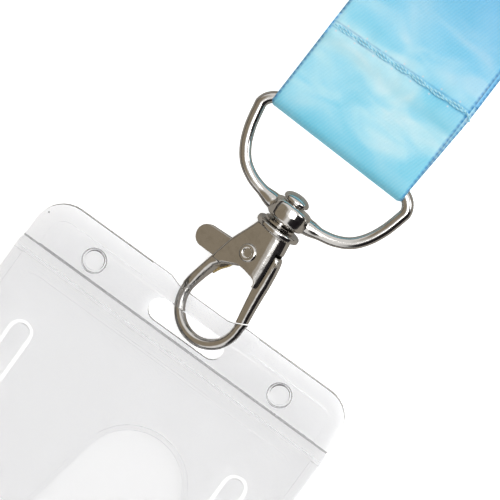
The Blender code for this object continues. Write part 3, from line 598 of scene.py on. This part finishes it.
def build_ribbon():
    """One continuous strip with rounded selvedges, puckered along the seam."""
    path = ribbon_path()
    lengths = [0.0]
    for a, b in zip(path, path[1:]):
        lengths.append(lengths[-1] + math.hypot(b[0] - a[0], b[1] - a[1]))
    fold = min(range(len(path)), key=lambda i: path[i][0])
    seam = next(i for i in range(fold, len(path)) if path[i][0] >= SEAM_Y)
    material = ribbon_material(lengths[fold], lengths[seam])
    count = 40
    half_thick = RIBBON_THICK / 2
    columns = [-1.0 + 2.0 * i / count for i in range(count + 1)]
    ring = [(u, 1.0) for u in columns] + [(u, -1.0) for u in reversed(columns)]
    normals = []
    for i in range(len(path)):
        a = path[max(i - 1, 0)]
        b = path[min(i + 1, len(path) - 1)]
        dy, dz = b[0] - a[0], b[1] - a[1]
        size = math.hypot(dy, dz) or 1.0
        normals.append((-dz / size, dy / size))
    bm = bmesh.new()
    rows = []
    for i, ((y, z), travelled) in enumerate(zip(path, lengths)):
        before_fold = i < fold
        last_run = travelled > lengths[-1] / 2
        run = "under" if before_fold or (last_run and y < HANK_START) else "front"
        shift = ribbon_shift(y, run) if y < 40.0 or not last_run else UNDER_DRIFT
        if last_run and y >= HANK_START:
            shift = UNDER_DRIFT * max(0.0, 1.0 - (lengths[-1] - travelled - 40.0) / 120.0)
        width = RIBBON_FOLD_WIDTH + (RIBBON_WIDTH - RIBBON_FOLD_WIDTH) * smoothstep((y - 1.0) / 13.0)
        row = []
        ny, nz = normals[i]
        for u, face in ring:
            rounding = math.sqrt(max(0.0, 1.0 - max(0.0, (abs(u) - 0.975) / 0.025) ** 2))
            x = u * width / 2
            pucker = 0.0
            groove = 0.0
            if run == "front" and y < 30.0:
                phase = 2 * math.pi * (x + SEAM_HALF) / STITCH
                off_seam = y - seam_line(x)
                wide = math.exp(-(off_seam / 2.6) ** 2)
                slack = 0.03 * math.sin(0.9 * x + 0.35 * y) * smoothstep(y / 6.0)
                pucker = 0.07 * wide * math.cos(phase) + slack
                groove = -0.2 * math.exp(-(off_seam / 0.8) ** 2) if face > 0 else 0.0
            wander = 0.10 * math.sin(travelled * 0.05 + 1.3) * abs(u)
            lift = half_thick * face * rounding + pucker + groove
            px = x + shift + wander * (1 if u > 0 else -1) * 0.5
            row.append(bm.verts.new(strap_point(px, y + ny * lift, z + nz * lift)))
        rows.append(row)
    uv_layer = bm.loops.layers.uv.new("ribbon")
    size = len(ring)

    def add_face(verts, coords):
        """A face with its texture coordinates, unless it is there already."""
        try:
            face = bm.faces.new(verts)
        except ValueError:
            return
        for loop, (cu, cv) in zip(face.loops, coords):
            loop[uv_layer].uv = (cu, cv)

    for i in range(len(rows) - 1):
        for k in range(size):
            n = (k + 1) % size
            u0 = (ring[k][0] + 1) / 2 * RIBBON_WIDTH
            u1 = (ring[n][0] + 1) / 2 * RIBBON_WIDTH
            add_face((rows[i][k], rows[i][n], rows[i + 1][n], rows[i + 1][k]),
                     ((u0, lengths[i]), (u1, lengths[i]), (u1, lengths[i + 1]), (u0, lengths[i + 1])))
    for row, flip in ((rows[0], True), (rows[-1], False)):
        for k in range(count):
            quad = [row[k], row[k + 1], row[size - 2 - k], row[size - 1 - k]]
            if flip:
                quad.reverse()
            add_face(quad, [(0.1, 0.0)] * 4)
    bmesh.ops.remove_doubles(bm, verts=bm.verts, dist=1e-6)
    bmesh.ops.recalc_face_normals(bm, faces=bm.faces)
    obj = new_mesh("ribbon", bm, material)
    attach(obj, "strap")
    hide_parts("strap_end_loop", "strap_hank")
    return obj


def seam_line(x):
    """Where the seam lies along the strap: it was sewn slightly askew."""
    return SEAM_Y + SEAM_SHIFT + SEAM_SLOPE * x


def seam_surface(side):
    """Height of the ribbon stack's outer face at the seam."""
    side_gap = (RIBBON_THICK + PAIR_GAP) / 2
    middle = run_height(SEAM_Y)
    if side > 0:
        return middle + side_gap + RIBBON_THICK / 2 - 0.16
    return middle - side_gap - RIBBON_THICK * 1.5 - PAIR_GAP


def sweep(name, points, radius, material):
    """A closed round tube along points, with its length and turn as texture coordinates."""
    sides = 10
    bm = bmesh.new()
    uv_layer = bm.loops.layers.uv.new("thread")
    rows = []
    travelled = [0.0]
    up = Vector((0.0, 0.0, 1.0))
    for i, point in enumerate(points):
        a = points[max(i - 1, 0)]
        b = points[min(i + 1, len(points) - 1)]
        direction = (b - a).normalized()
        side = direction.cross(up)
        side = side.normalized() if side.length > 1e-4 else Vector((1.0, 0.0, 0.0))
        top = side.cross(direction)
        if i:
            travelled.append(travelled[-1] + (point - points[i - 1]).length / MM)
        rows.append([bm.verts.new(point + (side * math.cos(2 * math.pi * k / sides)
                                           + top * math.sin(2 * math.pi * k / sides)) * radius * MM)
                     for k in range(sides)])
    for i in range(len(rows) - 1):
        for k in range(sides):
            n = (k + 1) % sides
            face = bm.faces.new((rows[i][k], rows[i][n], rows[i + 1][n], rows[i + 1][k]))
            coords = ((k, i), (k + 1, i), (k + 1, i + 1), (k, i + 1))
            for loop, (turn, row) in zip(face.loops, coords):
                loop[uv_layer].uv = (turn / sides, travelled[row])
    bm.faces.new(rows[0])
    bm.faces.new(rows[-1])
    bmesh.ops.recalc_face_normals(bm, faces=bm.faces)
    return new_mesh(name, bm, material)


def build_threads(material):
    """The lock stitch: two plies cross on the upper face, one thread runs below, and a tail curls off."""
    top = seam_surface(1)
    count = 150
    for ply in (0, 1):
        points = []
        for i in range(count + 1):
            x = -SEAM_HALF + 2 * SEAM_HALF * i / count
            phase = math.pi * (x + SEAM_HALF) / STITCH
            spread = 0.24 * math.sin(phase) * (1 if ply else -1)
            arch = 0.16 + 0.16 * abs(math.sin(phase)) + 0.05 * math.cos(phase) * (1 if ply else -1)
            points.append(strap_point(x, seam_line(x) + spread + 0.06 * math.sin(x * 0.7), top + arch - 0.12))
        if ply:
            for j in range(1, 9):
                t = j / 8
                points.append(strap_point(SEAM_HALF + 1.3 * math.sin(1.3 * t),
                                          seam_line(SEAM_HALF) - 0.9 * t * t,
                                          top + 0.1 + 0.3 * math.sin(math.pi * t) * (1 - t)))
        obj = sweep(f"seam_thread_{'ab'[ply]}", points, THREAD_RADIUS, material)
        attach(obj, "strap")
        if ply == 0:
            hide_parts("seam_needle_thread")
    low = seam_surface(-1)
    points = []
    for i in range(count + 1):
        x = -SEAM_HALF + 2 * SEAM_HALF * i / count
        dip = 0.12 * abs(math.sin(math.pi * (x + SEAM_HALF) / STITCH))
        points.append(strap_point(x + 0.6, seam_line(x), low - dip + 0.05))
    obj = sweep("seam_thread_under", points, THREAD_RADIUS, material)
    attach(obj, "strap")
    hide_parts("seam_bobbin_thread")


def build_tie(material):
    """The elastic band round the hank: a closed loop with rounded edges."""
    middle = HANK_START + HANK_FOLD / 2
    top = REST_HEIGHT + HANK_RISE + (HANK_LAYERS - 1) * HANK_PITCH + 2 * RIBBON_THICK + PAIR_GAP + 0.45
    half_x = RIBBON_WIDTH / 2 + TIE_MARGIN
    outline = []
    corners = [(half_x, top, 0), (-half_x, top, 90), (-half_x, TIE_LOW, 180), (half_x, TIE_LOW, 270)]
    for x, z, start in corners:
        ox = math.copysign(half_x - TIE_CORNER, x)
        oz = z - TIE_CORNER if start < 180 else z + TIE_CORNER
        for step in range(7):
            angle = math.radians(start + 90 * step / 6)
            outline.append((ox, oz, math.cos(angle), math.sin(angle)))
    section = []
    for step in range(12):
        t = step / 12 * 2 * math.pi
        wide = math.copysign(abs(math.cos(t)) ** 0.35, math.cos(t)) * TIE_LENGTH / 2
        deep = math.copysign(abs(math.sin(t)) ** 0.6, math.sin(t)) * TIE_THICK / 2
        section.append((wide, deep))
    bm = bmesh.new()
    rows = []
    for ox, oz, cx, cz in outline:
        row = []
        for wide, deep in section:
            reach = TIE_CORNER + deep
            row.append(bm.verts.new(strap_point(ox + cx * reach + TIE_SHIFT, middle + wide, oz + cz * reach)))
        rows.append(row)
    for i in range(len(rows)):
        for k in range(len(section)):
            a, b = rows[i], rows[(i + 1) % len(rows)]
            n = (k + 1) % len(section)
            bm.faces.new((a[k], a[n], b[n], b[k]))
    bmesh.ops.remove_doubles(bm, verts=bm.verts, dist=1e-6)
    bmesh.ops.recalc_face_normals(bm, faces=bm.faces)
    obj = new_mesh("tie_band", bm, material)
    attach(obj, "strap")
    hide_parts("hank_tie")


# ---------------------------------------------------------------- metal

def hook_point(n, a, f):
    """A point of the hook: to its right, along its post, and out of its front face, in millimetres."""
    return BOSS + (SIDE_AXIS * n + POST_AXIS * a + FRONT_AXIS * f) * MM


def ring_point(x, y, z):
    """A point of the ring: along its bar, towards the strap, and up, in millimetres."""
    return BAR + (BAR_AXIS * (x + RING_SHIFT) + STRAP_ALONG * y) * MM + Vector((0.0, 0.0, z * MM))


def on_post(x, y, h):
    """Turned pieces on the post: height along the post."""
    return hook_point(x, h, y)


def at_pivot(x, y, h):
    """Turned pieces on the pivot: height out of the front face."""
    return hook_point(PIVOT[0] + x, PIVOT[1] + y, h)


def arc(centre, radius, start, end, count):
    """Points on an arc in degrees, both ends included."""
    angles = [math.radians(start + (end - start) * step / count) for step in range(count + 1)]
    return [(centre[0] + radius * math.cos(angle), centre[1] + radius * math.sin(angle)) for angle in angles]


def smooth_line(points, per_span):
    """Points of a Catmull-Rom curve through an open list of points."""
    padded = [points[0]] + list(points) + [points[-1]]
    line = []
    for i in range(1, len(padded) - 2):
        p0, p1, p2, p3 = (Vector(p) for p in padded[i - 1:i + 3])
        for step in range(per_span):
            t = step / per_span
            line.append(tuple(0.5 * (2 * p1 + (p2 - p0) * t + (2 * p0 - 5 * p1 + 4 * p2 - p3) * t ** 2
                                     + (3 * p1 - p0 - 3 * p2 + p3) * t ** 3)))
    line.append(tuple(points[-1]))
    return line


def skin(bm, sections):
    """Joins rings of vertices of equal count into a closed solid."""
    count = len(sections[0])
    for a, b in zip(sections, sections[1:]):
        for k in range(count):
            n = (k + 1) % count
            bm.faces.new((a[k], a[n], b[n], b[k]))
    bm.faces.new(sections[0])
    bm.faces.new(sections[-1])


def add_prism(bm, outline, low, high, place):
    """A flat outline between two heights."""
    skin(bm, [[bm.verts.new(place(x, y, height)) for x, y in outline] for height in (low, high)])


def add_turned(bm, profile, place):
    """A turned solid from a closed profile of (radius, height)."""
    steps = 40
    rings = []
    for radius, height in profile:
        if radius == 0.0:
            rings.append([bm.verts.new(place(0.0, 0.0, height))])
        else:
            circle = arc((0, 0), radius, 0, 360 * (1 - 1 / steps), steps - 1)
            rings.append([bm.verts.new(place(*point, height)) for point in circle])
    loop = list(zip(rings, rings[1:]))
    if profile[0][0] > 0.0:
        loop.append((rings[-1], rings[0]))
    for a, b in loop:
        for k in range(steps):
            n = (k + 1) % steps
            corners = [a[k % len(a)], a[n % len(a)], b[n % len(b)], b[k % len(b)]]
            unique = list(dict.fromkeys(corners))
            if len(unique) > 2:
                bm.faces.new(unique)


def add_tube(bm, points, radius, place):
    """A round bar along a flat path; the radius is a function of the place."""
    sides = 20
    sections = []
    for i, (x, y) in enumerate(points):
        a = points[max(i - 1, 0)]
        b = points[min(i + 1, len(points) - 1)]
        dx, dy = b[0] - a[0], b[1] - a[1]
        size = math.hypot(dx, dy)
        local = radius(x, y)
        section = []
        for k in range(sides):
            angle = 2 * math.pi * k / sides
            reach = local * math.cos(angle)
            section.append(bm.verts.new(place(x + dy / size * reach, y - dx / size * reach,
                                              local * math.sin(angle))))
        sections.append(section)
    skin(bm, sections)


def block_section(low, high, half, left_round, right_round):
    """A cross-section between two sides; the rounds are (width, depth), smaller on the left."""
    points = []
    for side, start, (wide, deep) in ((1, 0, right_round), (-1, 90, left_round), (-1, 180, left_round),
                                      (1, 270, right_round)):
        wide = min(wide, (high - low) * 0.49)
        deep = min(deep, half * 0.98)
        centre_x = high - wide if side > 0 else low + wide
        centre_z = half - deep if start < 180 else deep - half
        quarter = arc((0.0, 0.0), 1.0, start, start + 90, 6)
        points += [(centre_x + wide * x, centre_z + deep * z) for x, z in quarter]
    return points


def add_block(bm, stations, place):
    """A solid lofted through stations: along, low and high side, half thickness, left and right round."""
    sections = []
    for along, low, high, half, left_round, right_round in stations:
        sections.append([bm.verts.new(place(x, along, z))
                         for x, z in block_section(low, high, half, left_round, right_round)])
    skin(bm, sections)


def solid_object(name, fill):
    """An object from a function that fills a bmesh with closed solids."""
    bm = bmesh.new()
    fill(bm)
    bmesh.ops.recalc_face_normals(bm, faces=bm.faces)
    return new_mesh(name, bm, None)


def bake_modifiers(obj):
    """Applies an object's modifiers."""
    depsgraph = bpy.context.evaluated_depsgraph_get()
    mesh = bpy.data.meshes.new_from_object(obj.evaluated_get(depsgraph))
    obj.modifiers.clear()
    old = obj.data
    obj.data = mesh
    bpy.data.meshes.remove(old)


def carve(obj, fill):
    """Cuts the solids that a function makes out of an object."""
    cutter = solid_object(obj.name + ".cutter", fill)
    cut = obj.modifiers.new("cut", "BOOLEAN")
    cut.operation = "DIFFERENCE"
    cut.solver = "EXACT"
    cut.object = cutter
    bpy.context.view_layer.update()
    bake_modifiers(obj)
    data = cutter.data
    bpy.data.objects.remove(cutter, do_unlink=True)
    bpy.data.meshes.remove(data)


def melt(obj, voxel, passes):
    """Fuses an object's solids into one casting with soft edges."""
    fuse = obj.modifiers.new("fuse", "REMESH")
    fuse.mode = "VOXEL"
    fuse.voxel_size = voxel * MM
    soften = obj.modifiers.new("soften", "SMOOTH")
    soften.factor = 0.5
    soften.iterations = passes
    bpy.context.view_layer.update()
    bake_modifiers(obj)


def finish_metal(obj, material, body, slot_name, *nodes):
    """Shading, material, body and the CAD nodes that a metal piece stands for."""
    obj.data.materials.clear()
    obj.data.materials.append(material)
    obj.data.shade_smooth()
    obj.data.set_sharp_from_angle(angle=SHARP_ANGLE)
    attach(obj, body)
    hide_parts(*nodes)


def build_ring(material):
    """The D-ring: round wire, round corners at the bar, and a barrel boss that it flares into."""
    def wire_radius(x, y):
        near = (math.hypot(x, y + BOSS_DISTANCE) - BOSS_RADIUS) / ARM_FLARE_REACH
        return RING_WIRE + (ARM_FLARE * (1.0 - smoothstep(near)) if y < -BOSS_DISTANCE / 2 else 0.0)

    def fill(bm):
        corner = RING_HALF_WIDTH - RING_CORNER
        bow = [(x, y - BOSS_DISTANCE) for x, y in smooth_line(BOW, 6)]
        path = bow + arc((corner, -RING_CORNER), RING_CORNER, 10, 90, 9)
        path += [(corner * (1 - i / 8), 0.0) for i in range(1, 16)]
        path += arc((-corner, -RING_CORNER), RING_CORNER, 90, 170, 9) + [(-x, y) for x, y in reversed(bow)]
        add_tube(bm, path, wire_radius, ring_point)
        rim = BOSS_RADIUS - BOSS_EDGE
        profile = [(BOSS_BORE, BOSS_HALF)]
        profile += reversed(arc((rim, BOSS_HALF - BOSS_EDGE), BOSS_EDGE, 0, 90, 4))
        profile += [(BOSS_RADIUS + BOSS_CROWN, 0.0)]
        profile += reversed(arc((rim, BOSS_EDGE - BOSS_HALF), BOSS_EDGE, 270, 360, 4))
        profile += [(BOSS_BORE, -BOSS_HALF)]
        add_turned(bm, profile, lambda x, y, h: ring_point(x, h - BOSS_DISTANCE, y))

    ring = solid_object("d_ring", fill)
    melt(ring, RING_VOXEL, RING_PASSES)
    finish_metal(ring, material, "ring", "nickel_plate", "swivel_d_ring")


def build_swivel(material):
    """The swivel rivet with its domed head, and the washer under the boss."""
    def fill_rivet(bm):
        dome = [(0.0, HEAD_TOP)]
        base = HEAD_BASE + HEAD_WALL
        for step in range(1, 9):
            angle = math.radians(90 - 80 * step / 8)
            dome.append((HEAD_RADIUS * math.cos(angle), base + (HEAD_TOP - base) * math.sin(angle)))
        profile = dome + [(HEAD_RADIUS, HEAD_BASE + 0.3), (HEAD_RADIUS - 0.05, HEAD_BASE + 0.1),
                          (HEAD_RADIUS - 0.2, HEAD_BASE), (POST_RADIUS, HEAD_BASE), (POST_RADIUS, POST_END),
                          (0.0, POST_END)]
        add_turned(bm, profile, on_post)

    def fill_washer(bm):
        inner, outer, low, high = WASHER
        add_turned(bm, [(inner, high), (outer - 0.06, high), (outer, high - 0.06), (outer, low + 0.06),
                        (outer - 0.06, low), (inner, low)], on_post)

    finish_metal(solid_object("rivet", fill_rivet), material, "hook", "nickel_plate", "swivel_rivet")
    finish_metal(solid_object("washer", fill_washer), material, "hook", "nickel_plate", "swivel_washer")


def build_hook(material):
    """The hook casting: flange, housing with a flat face and a round right side, spine, wire loop, nose."""
    housing = [(-3.2, -2.4, 3.0), (-4.1, -2.7, 3.2), (-5.5, -3.25, 3.4), (-7.0, -3.9, 3.6),
               (-8.5, -4.5, 3.75), (-10.0, -4.85, 3.88), (-11.6, -5.2, 4.0), (-12.2, -5.3, 3.9)]
    spine = [(-11.0, -5.1, -1.0, 2.3), (-12.2, -5.4, -3.2, 2.2), (-13.4, -5.8, -4.15, 1.95),
             (-14.8, -6.25, -4.7, 1.6), (-16.2, -6.7, -5.05, 1.3), (-17.5, -7.05, -5.3, 1.05),
             (-18.7, -7.22, -5.48, 0.9)]
    arch = [(2.75, -12.9), (2.8, -11.6), (2.3, -11.05), (1.2, -10.8), (-0.1, -10.7), (-1.3, -10.85),
            (-2.5, -11.35), (-3.6, -12.2), (-4.4, -13.4), (-4.7, -14.2)]
    slot = [(-9.0, -4.4), (-2.2, -5.9), (2.2, -5.9), (8.0, -5.2), (8.0, -13.2), (4.0, -13.2), (-3.0, -13.4),
            (-9.0, -13.6)]

    def fill(bm):
        rounds = ((0.6, 0.5), (2.9, 2.2))
        add_block(bm, [(a, low, high, HOUSING_HALF, *rounds) for a, low, high in housing], hook_point)

    def fill_arch(bm):
        add_prism(bm, smooth_line(arch, 4), -4.0, 4.0, hook_point)

    def fill_rest(bm):
        rounds = ((0.4, 0.5), (0.8, 0.9))
        add_block(bm, [(*station, *rounds) for station in spine], hook_point)
        low, high = FLANGE
        profile = [(POST_SOCKET, high), (FLANGE_RADIUS - 0.15, high), (FLANGE_RADIUS, high - 0.15),
                   (FLANGE_RADIUS, low + 0.15), (FLANGE_RADIUS - 0.2, low), (2.35, low - 0.2), (2.25, -5.2),
                   (POST_SOCKET, -5.2)]
        add_turned(bm, profile, lambda x, y, h: on_post(x + FLANGE_SHIFT, y, h))
        loop = [(-6.3, -17.8)] + arc(LOOP_CENTRE, LOOP_RADIUS, 180, 364, 50) + [(4.62, -17.7), (4.68, -17.0)]
        add_tube(bm, loop, lambda x, y: LOOP_WIRE, hook_point)

    def fill_cuts(bm):
        add_prism(bm, slot, -CHEEK_INNER, CHEEK_INNER, hook_point)
        mouth = arc(PIVOT, NOSE_REACH, -70, -50, 8) + arc(PIVOT, 9.0, -50, -70, 8)
        add_prism(bm, mouth, -2.0, 2.0, hook_point)

    hook = solid_object("hook_casting", fill)
    carve(hook, fill_arch)
    rest = solid_object("rest", fill_rest)
    join = bmesh.new()
    join.from_mesh(hook.data)
    join.from_mesh(rest.data)
    join.to_mesh(hook.data)
    join.free()
    bpy.data.objects.remove(rest, do_unlink=True)
    melt(hook, HOOK_VOXEL, HOOK_PASSES)
    carve(hook, fill_cuts)
    finish_metal(hook, material, "hook", "nickel_plate", "hook_body")


def build_pivot(material):
    """The tubular rivet: a rolled rim on both faces round a shallow well."""
    def fill(bm):
        half = [(0.0, 2.05), (0.66, 2.05), (0.7, 2.5), (0.8, 2.62), (0.98, 2.68), (1.2, 2.66), (1.36, 2.56),
                (1.44, 2.42), (1.42, 2.36), (RIVET_RADIUS, 2.34)]
        add_turned(bm, half + [(r, -h) for r, h in reversed(half)], at_pivot)

    finish_metal(solid_object("pivot", fill), material, "hook", "nickel_plate", "pivot_rivet")


def build_gate(material):
    """The gate: thumb paddle, hub and a bar that runs up between the cheeks."""
    bar = [(-6.3, 2.5, 3.6, 0.95), (-6.6, 2.4, 3.85, 1.1), (-7.6, 2.4, 4.15, 1.1), (-9.0, 2.5, 4.4, 1.1),
           (-11.0, 2.65, 4.65, 1.1), (-12.4, 2.75, 4.75, 1.1), (-14.5, 3.1, 4.95, 1.05),
           (-16.5, 3.45, 5.2, 1.0), (-18.0, 3.72, 5.42, 0.95), (-19.0, 3.9, 5.6, 0.95)]

    def fill(bm):
        outline = arc(LEVER_TIP, LEVER_HALF_WIDTH, 98, 184, 8) + arc(LEVER_TIP, LEVER_HALF_WIDTH, 190, 262, 6)
        outline += [(-4.2, -12.3), (-2.4, -11.0), (0.3, -10.7), (2.9, -11.6), (4.0, -11.2), (3.9, -7.0)]
        outline += [(1.8, -6.6)]
        outline += arc(PIVOT, LEVER_HUB, 60, 140, 6) + [(-4.4, -8.45)]
        add_prism(bm, outline, LEVER_LAYER[0], LEVER_LAYER[1], hook_point)
        rounds = ((0.3, 0.4), (1.25, 0.95))
        add_block(bm, [(*station, *rounds) for station in bar], hook_point)

    def fill_end(bm):
        past = arc(PIVOT, GATE_REACH, -75, -45, 12) + arc(PIVOT, 14.0, -45, -75, 8)
        add_prism(bm, past, -3.0, 3.0, hook_point)
        bore = RIVET_RADIUS + 0.15
        add_turned(bm, [(0.0, 3.0), (bore, 3.0), (bore, -3.0), (0.0, -3.0)], at_pivot)

    gate = solid_object("gate", fill)
    melt(gate, GATE_VOXEL, GATE_PASSES)
    carve(gate, fill_end)
    finish_metal(gate, material, "gate", "nickel_plate", "gate_lever")


def build_spring(material):
    """The brass torsion spring: a leg against the spine and turns round the rivet."""
    leg = [Vector((-4.75, -14.9)), Vector((-4.1, -13.6)), Vector((-3.2, -12.4)), Vector((-2.3, -10.6))]
    points = [hook_point(x, y, SPRING_LOW) for x, y in smooth_line(leg, 5)[:-1]]
    for i in range(61):
        angle = SPRING_START + 2 * math.pi * SPRING_TURNS * i / 60
        points.append(at_pivot(SPRING_RADIUS * math.cos(angle), SPRING_RADIUS * math.sin(angle),
                               SPRING_LOW + SPRING_RISE * i / 60))
    spring = sweep("spring", points, SPRING_WIRE, material)
    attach(spring, "hook")
    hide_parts("gate_spring")


# ---------------------------------------------------------------- plastic

def dress_node(name, material, bevel):
    """Gives a CAD node its material, and rounds its sharp edges."""
    obj = frame["nodes"][name]
    obj.data.materials.clear()
    obj.data.materials.append(material)
    obj.data.shade_smooth()
    flat = obj.modifiers.new("flat", "DECIMATE")
    flat.decimate_type = "DISSOLVE"
    flat.angle_limit = math.radians(1.0)
    round_edges = obj.modifiers.new("round", "BEVEL")
    round_edges.width = bevel * MM
    round_edges.segments = 3
    round_edges.limit_method = "ANGLE"
    round_edges.angle_limit = EDGE_ANGLE
    round_edges.harden_normals = True


def dress_plastic():
    """Materials and soft edges of the holder's pieces."""
    clear_front = plastic_material("clear_front", FRONT_TINT, 0.05, 1.49)
    clear_rear = plastic_material("clear_rear", REAR_TINT, 0.06, 1.27)
    dress_node("front_cover", clear_front, PLASTIC_EDGE)
    dress_node("rear_shell", clear_rear, PLASTIC_EDGE)
    dress_node("weld_pin_left", clear_front, PIN_EDGE)
    dress_node("weld_pin_right", clear_front, PIN_EDGE)


# ---------------------------------------------------------------- stage and light

def make_stage():
    """The white table top."""
    bm = bmesh.new()
    bmesh.ops.create_grid(bm, x_segments=1, y_segments=1, size=1.6)
    obj = new_mesh("table", bm, floor_material())
    obj.location = (0.0, 0.0, -0.0004)


def area_light(name, position, size, power, colour=(1.0, 1.0, 1.0)):
    """A square soft light that faces the hook."""
    data = bpy.data.lights.new(name, "AREA")
    data.shape = "SQUARE"
    data.size = size
    data.energy = power
    data.color = colour
    obj = bpy.data.objects.new(name, data)
    bpy.context.scene.collection.objects.link(obj)
    obj.location = position
    direction = BOSS - Vector(position)
    obj.rotation_euler = direction.to_track_quat("-Z", "Y").to_euler()


def make_world():
    """A white room: a brown-grey wall to the left, a dark one to the right, and a dark horizon.

    Light that comes through clear plastic sees the horizon nearly white.
    """
    world = bpy.data.worlds.new("studio")
    bpy.context.scene.world = world
    world.use_nodes = True
    tree = world.node_tree
    background = tree.nodes["Background"]
    coords = tree.nodes.new("ShaderNodeTexCoord")

    def calculate(operation, value, second, third=0.0):
        """A Math node's output."""
        node = tree.nodes.new("ShaderNodeMath")
        node.operation = operation
        tree.links.new(value, node.inputs[0])
        if isinstance(second, bpy.types.NodeSocket):
            tree.links.new(second, node.inputs[1])
        else:
            node.inputs[1].default_value = second
        node.inputs[2].default_value = third
        return node.outputs[0]

    def facing(direction, start, end):
        """0 to 1 as the view turns towards a direction, between two cosines."""
        dot = tree.nodes.new("ShaderNodeVectorMath")
        dot.operation = "DOT_PRODUCT"
        tree.links.new(coords.outputs["Generated"], dot.inputs[0])
        dot.inputs[1].default_value = Vector(direction).normalized()
        spread = tree.nodes.new("ShaderNodeMapRange")
        spread.interpolation_type = "SMOOTHSTEP"
        spread.inputs["From Min"].default_value = start
        spread.inputs["From Max"].default_value = end
        tree.links.new(dot.outputs["Value"], spread.inputs["Value"])
        return spread.outputs["Result"]

    def blend_in(colour, factor, under):
        """A colour over what is there already."""
        mix = tree.nodes.new("ShaderNodeMix")
        mix.data_type = "RGBA"
        tree.links.new(factor, mix.inputs["Factor"])
        if isinstance(under, bpy.types.NodeSocket):
            tree.links.new(under, mix.inputs[6])
        else:
            mix.inputs[6].default_value = (*under, 1.0)
        mix.inputs[7].default_value = (*colour, 1.0)
        return mix.outputs[2]

    sky = ROOM_WHITE
    for direction, start, end, colour in (BROWN_WALL, DARK_WALL):
        sky = blend_in(colour, facing(direction, start, end), sky)
    direction, start, end, colour = HORIZON
    through = tree.nodes.new("ShaderNodeLightPath").outputs["Is Transmission Ray"]
    shown = calculate("MULTIPLY_ADD", through, HORIZON_THROUGH, 1.0)
    sky = blend_in(colour, calculate("MULTIPLY", facing(direction, start, end), shown), sky)
    tree.links.new(sky, background.inputs["Color"])
    background.inputs["Strength"].default_value = ROOM_STRENGTH


def make_light():
    """Soft studio light: the room, one large box overhead and one from the upper right."""
    make_world()
    area_light("overhead", (0.25, 0.15, 0.9), 0.5, 3.6)
    area_light("right", (0.75, 0.45, 0.45), 0.35, 1.0, (0.95, 0.98, 1.0))
    scene = bpy.context.scene
    scene.view_settings.view_transform = "Standard"
    scene.view_settings.look = "None"


make_camera()
build_ribbon()
build_threads(thread_material())
build_tie(elastic_material())
nickel = nickel_material()
build_ring(nickel)
build_swivel(nickel)
build_hook(nickel)
build_pivot(nickel)
build_gate(nickel)
build_spring(brass_material())
dress_plastic()
make_stage()
make_light()
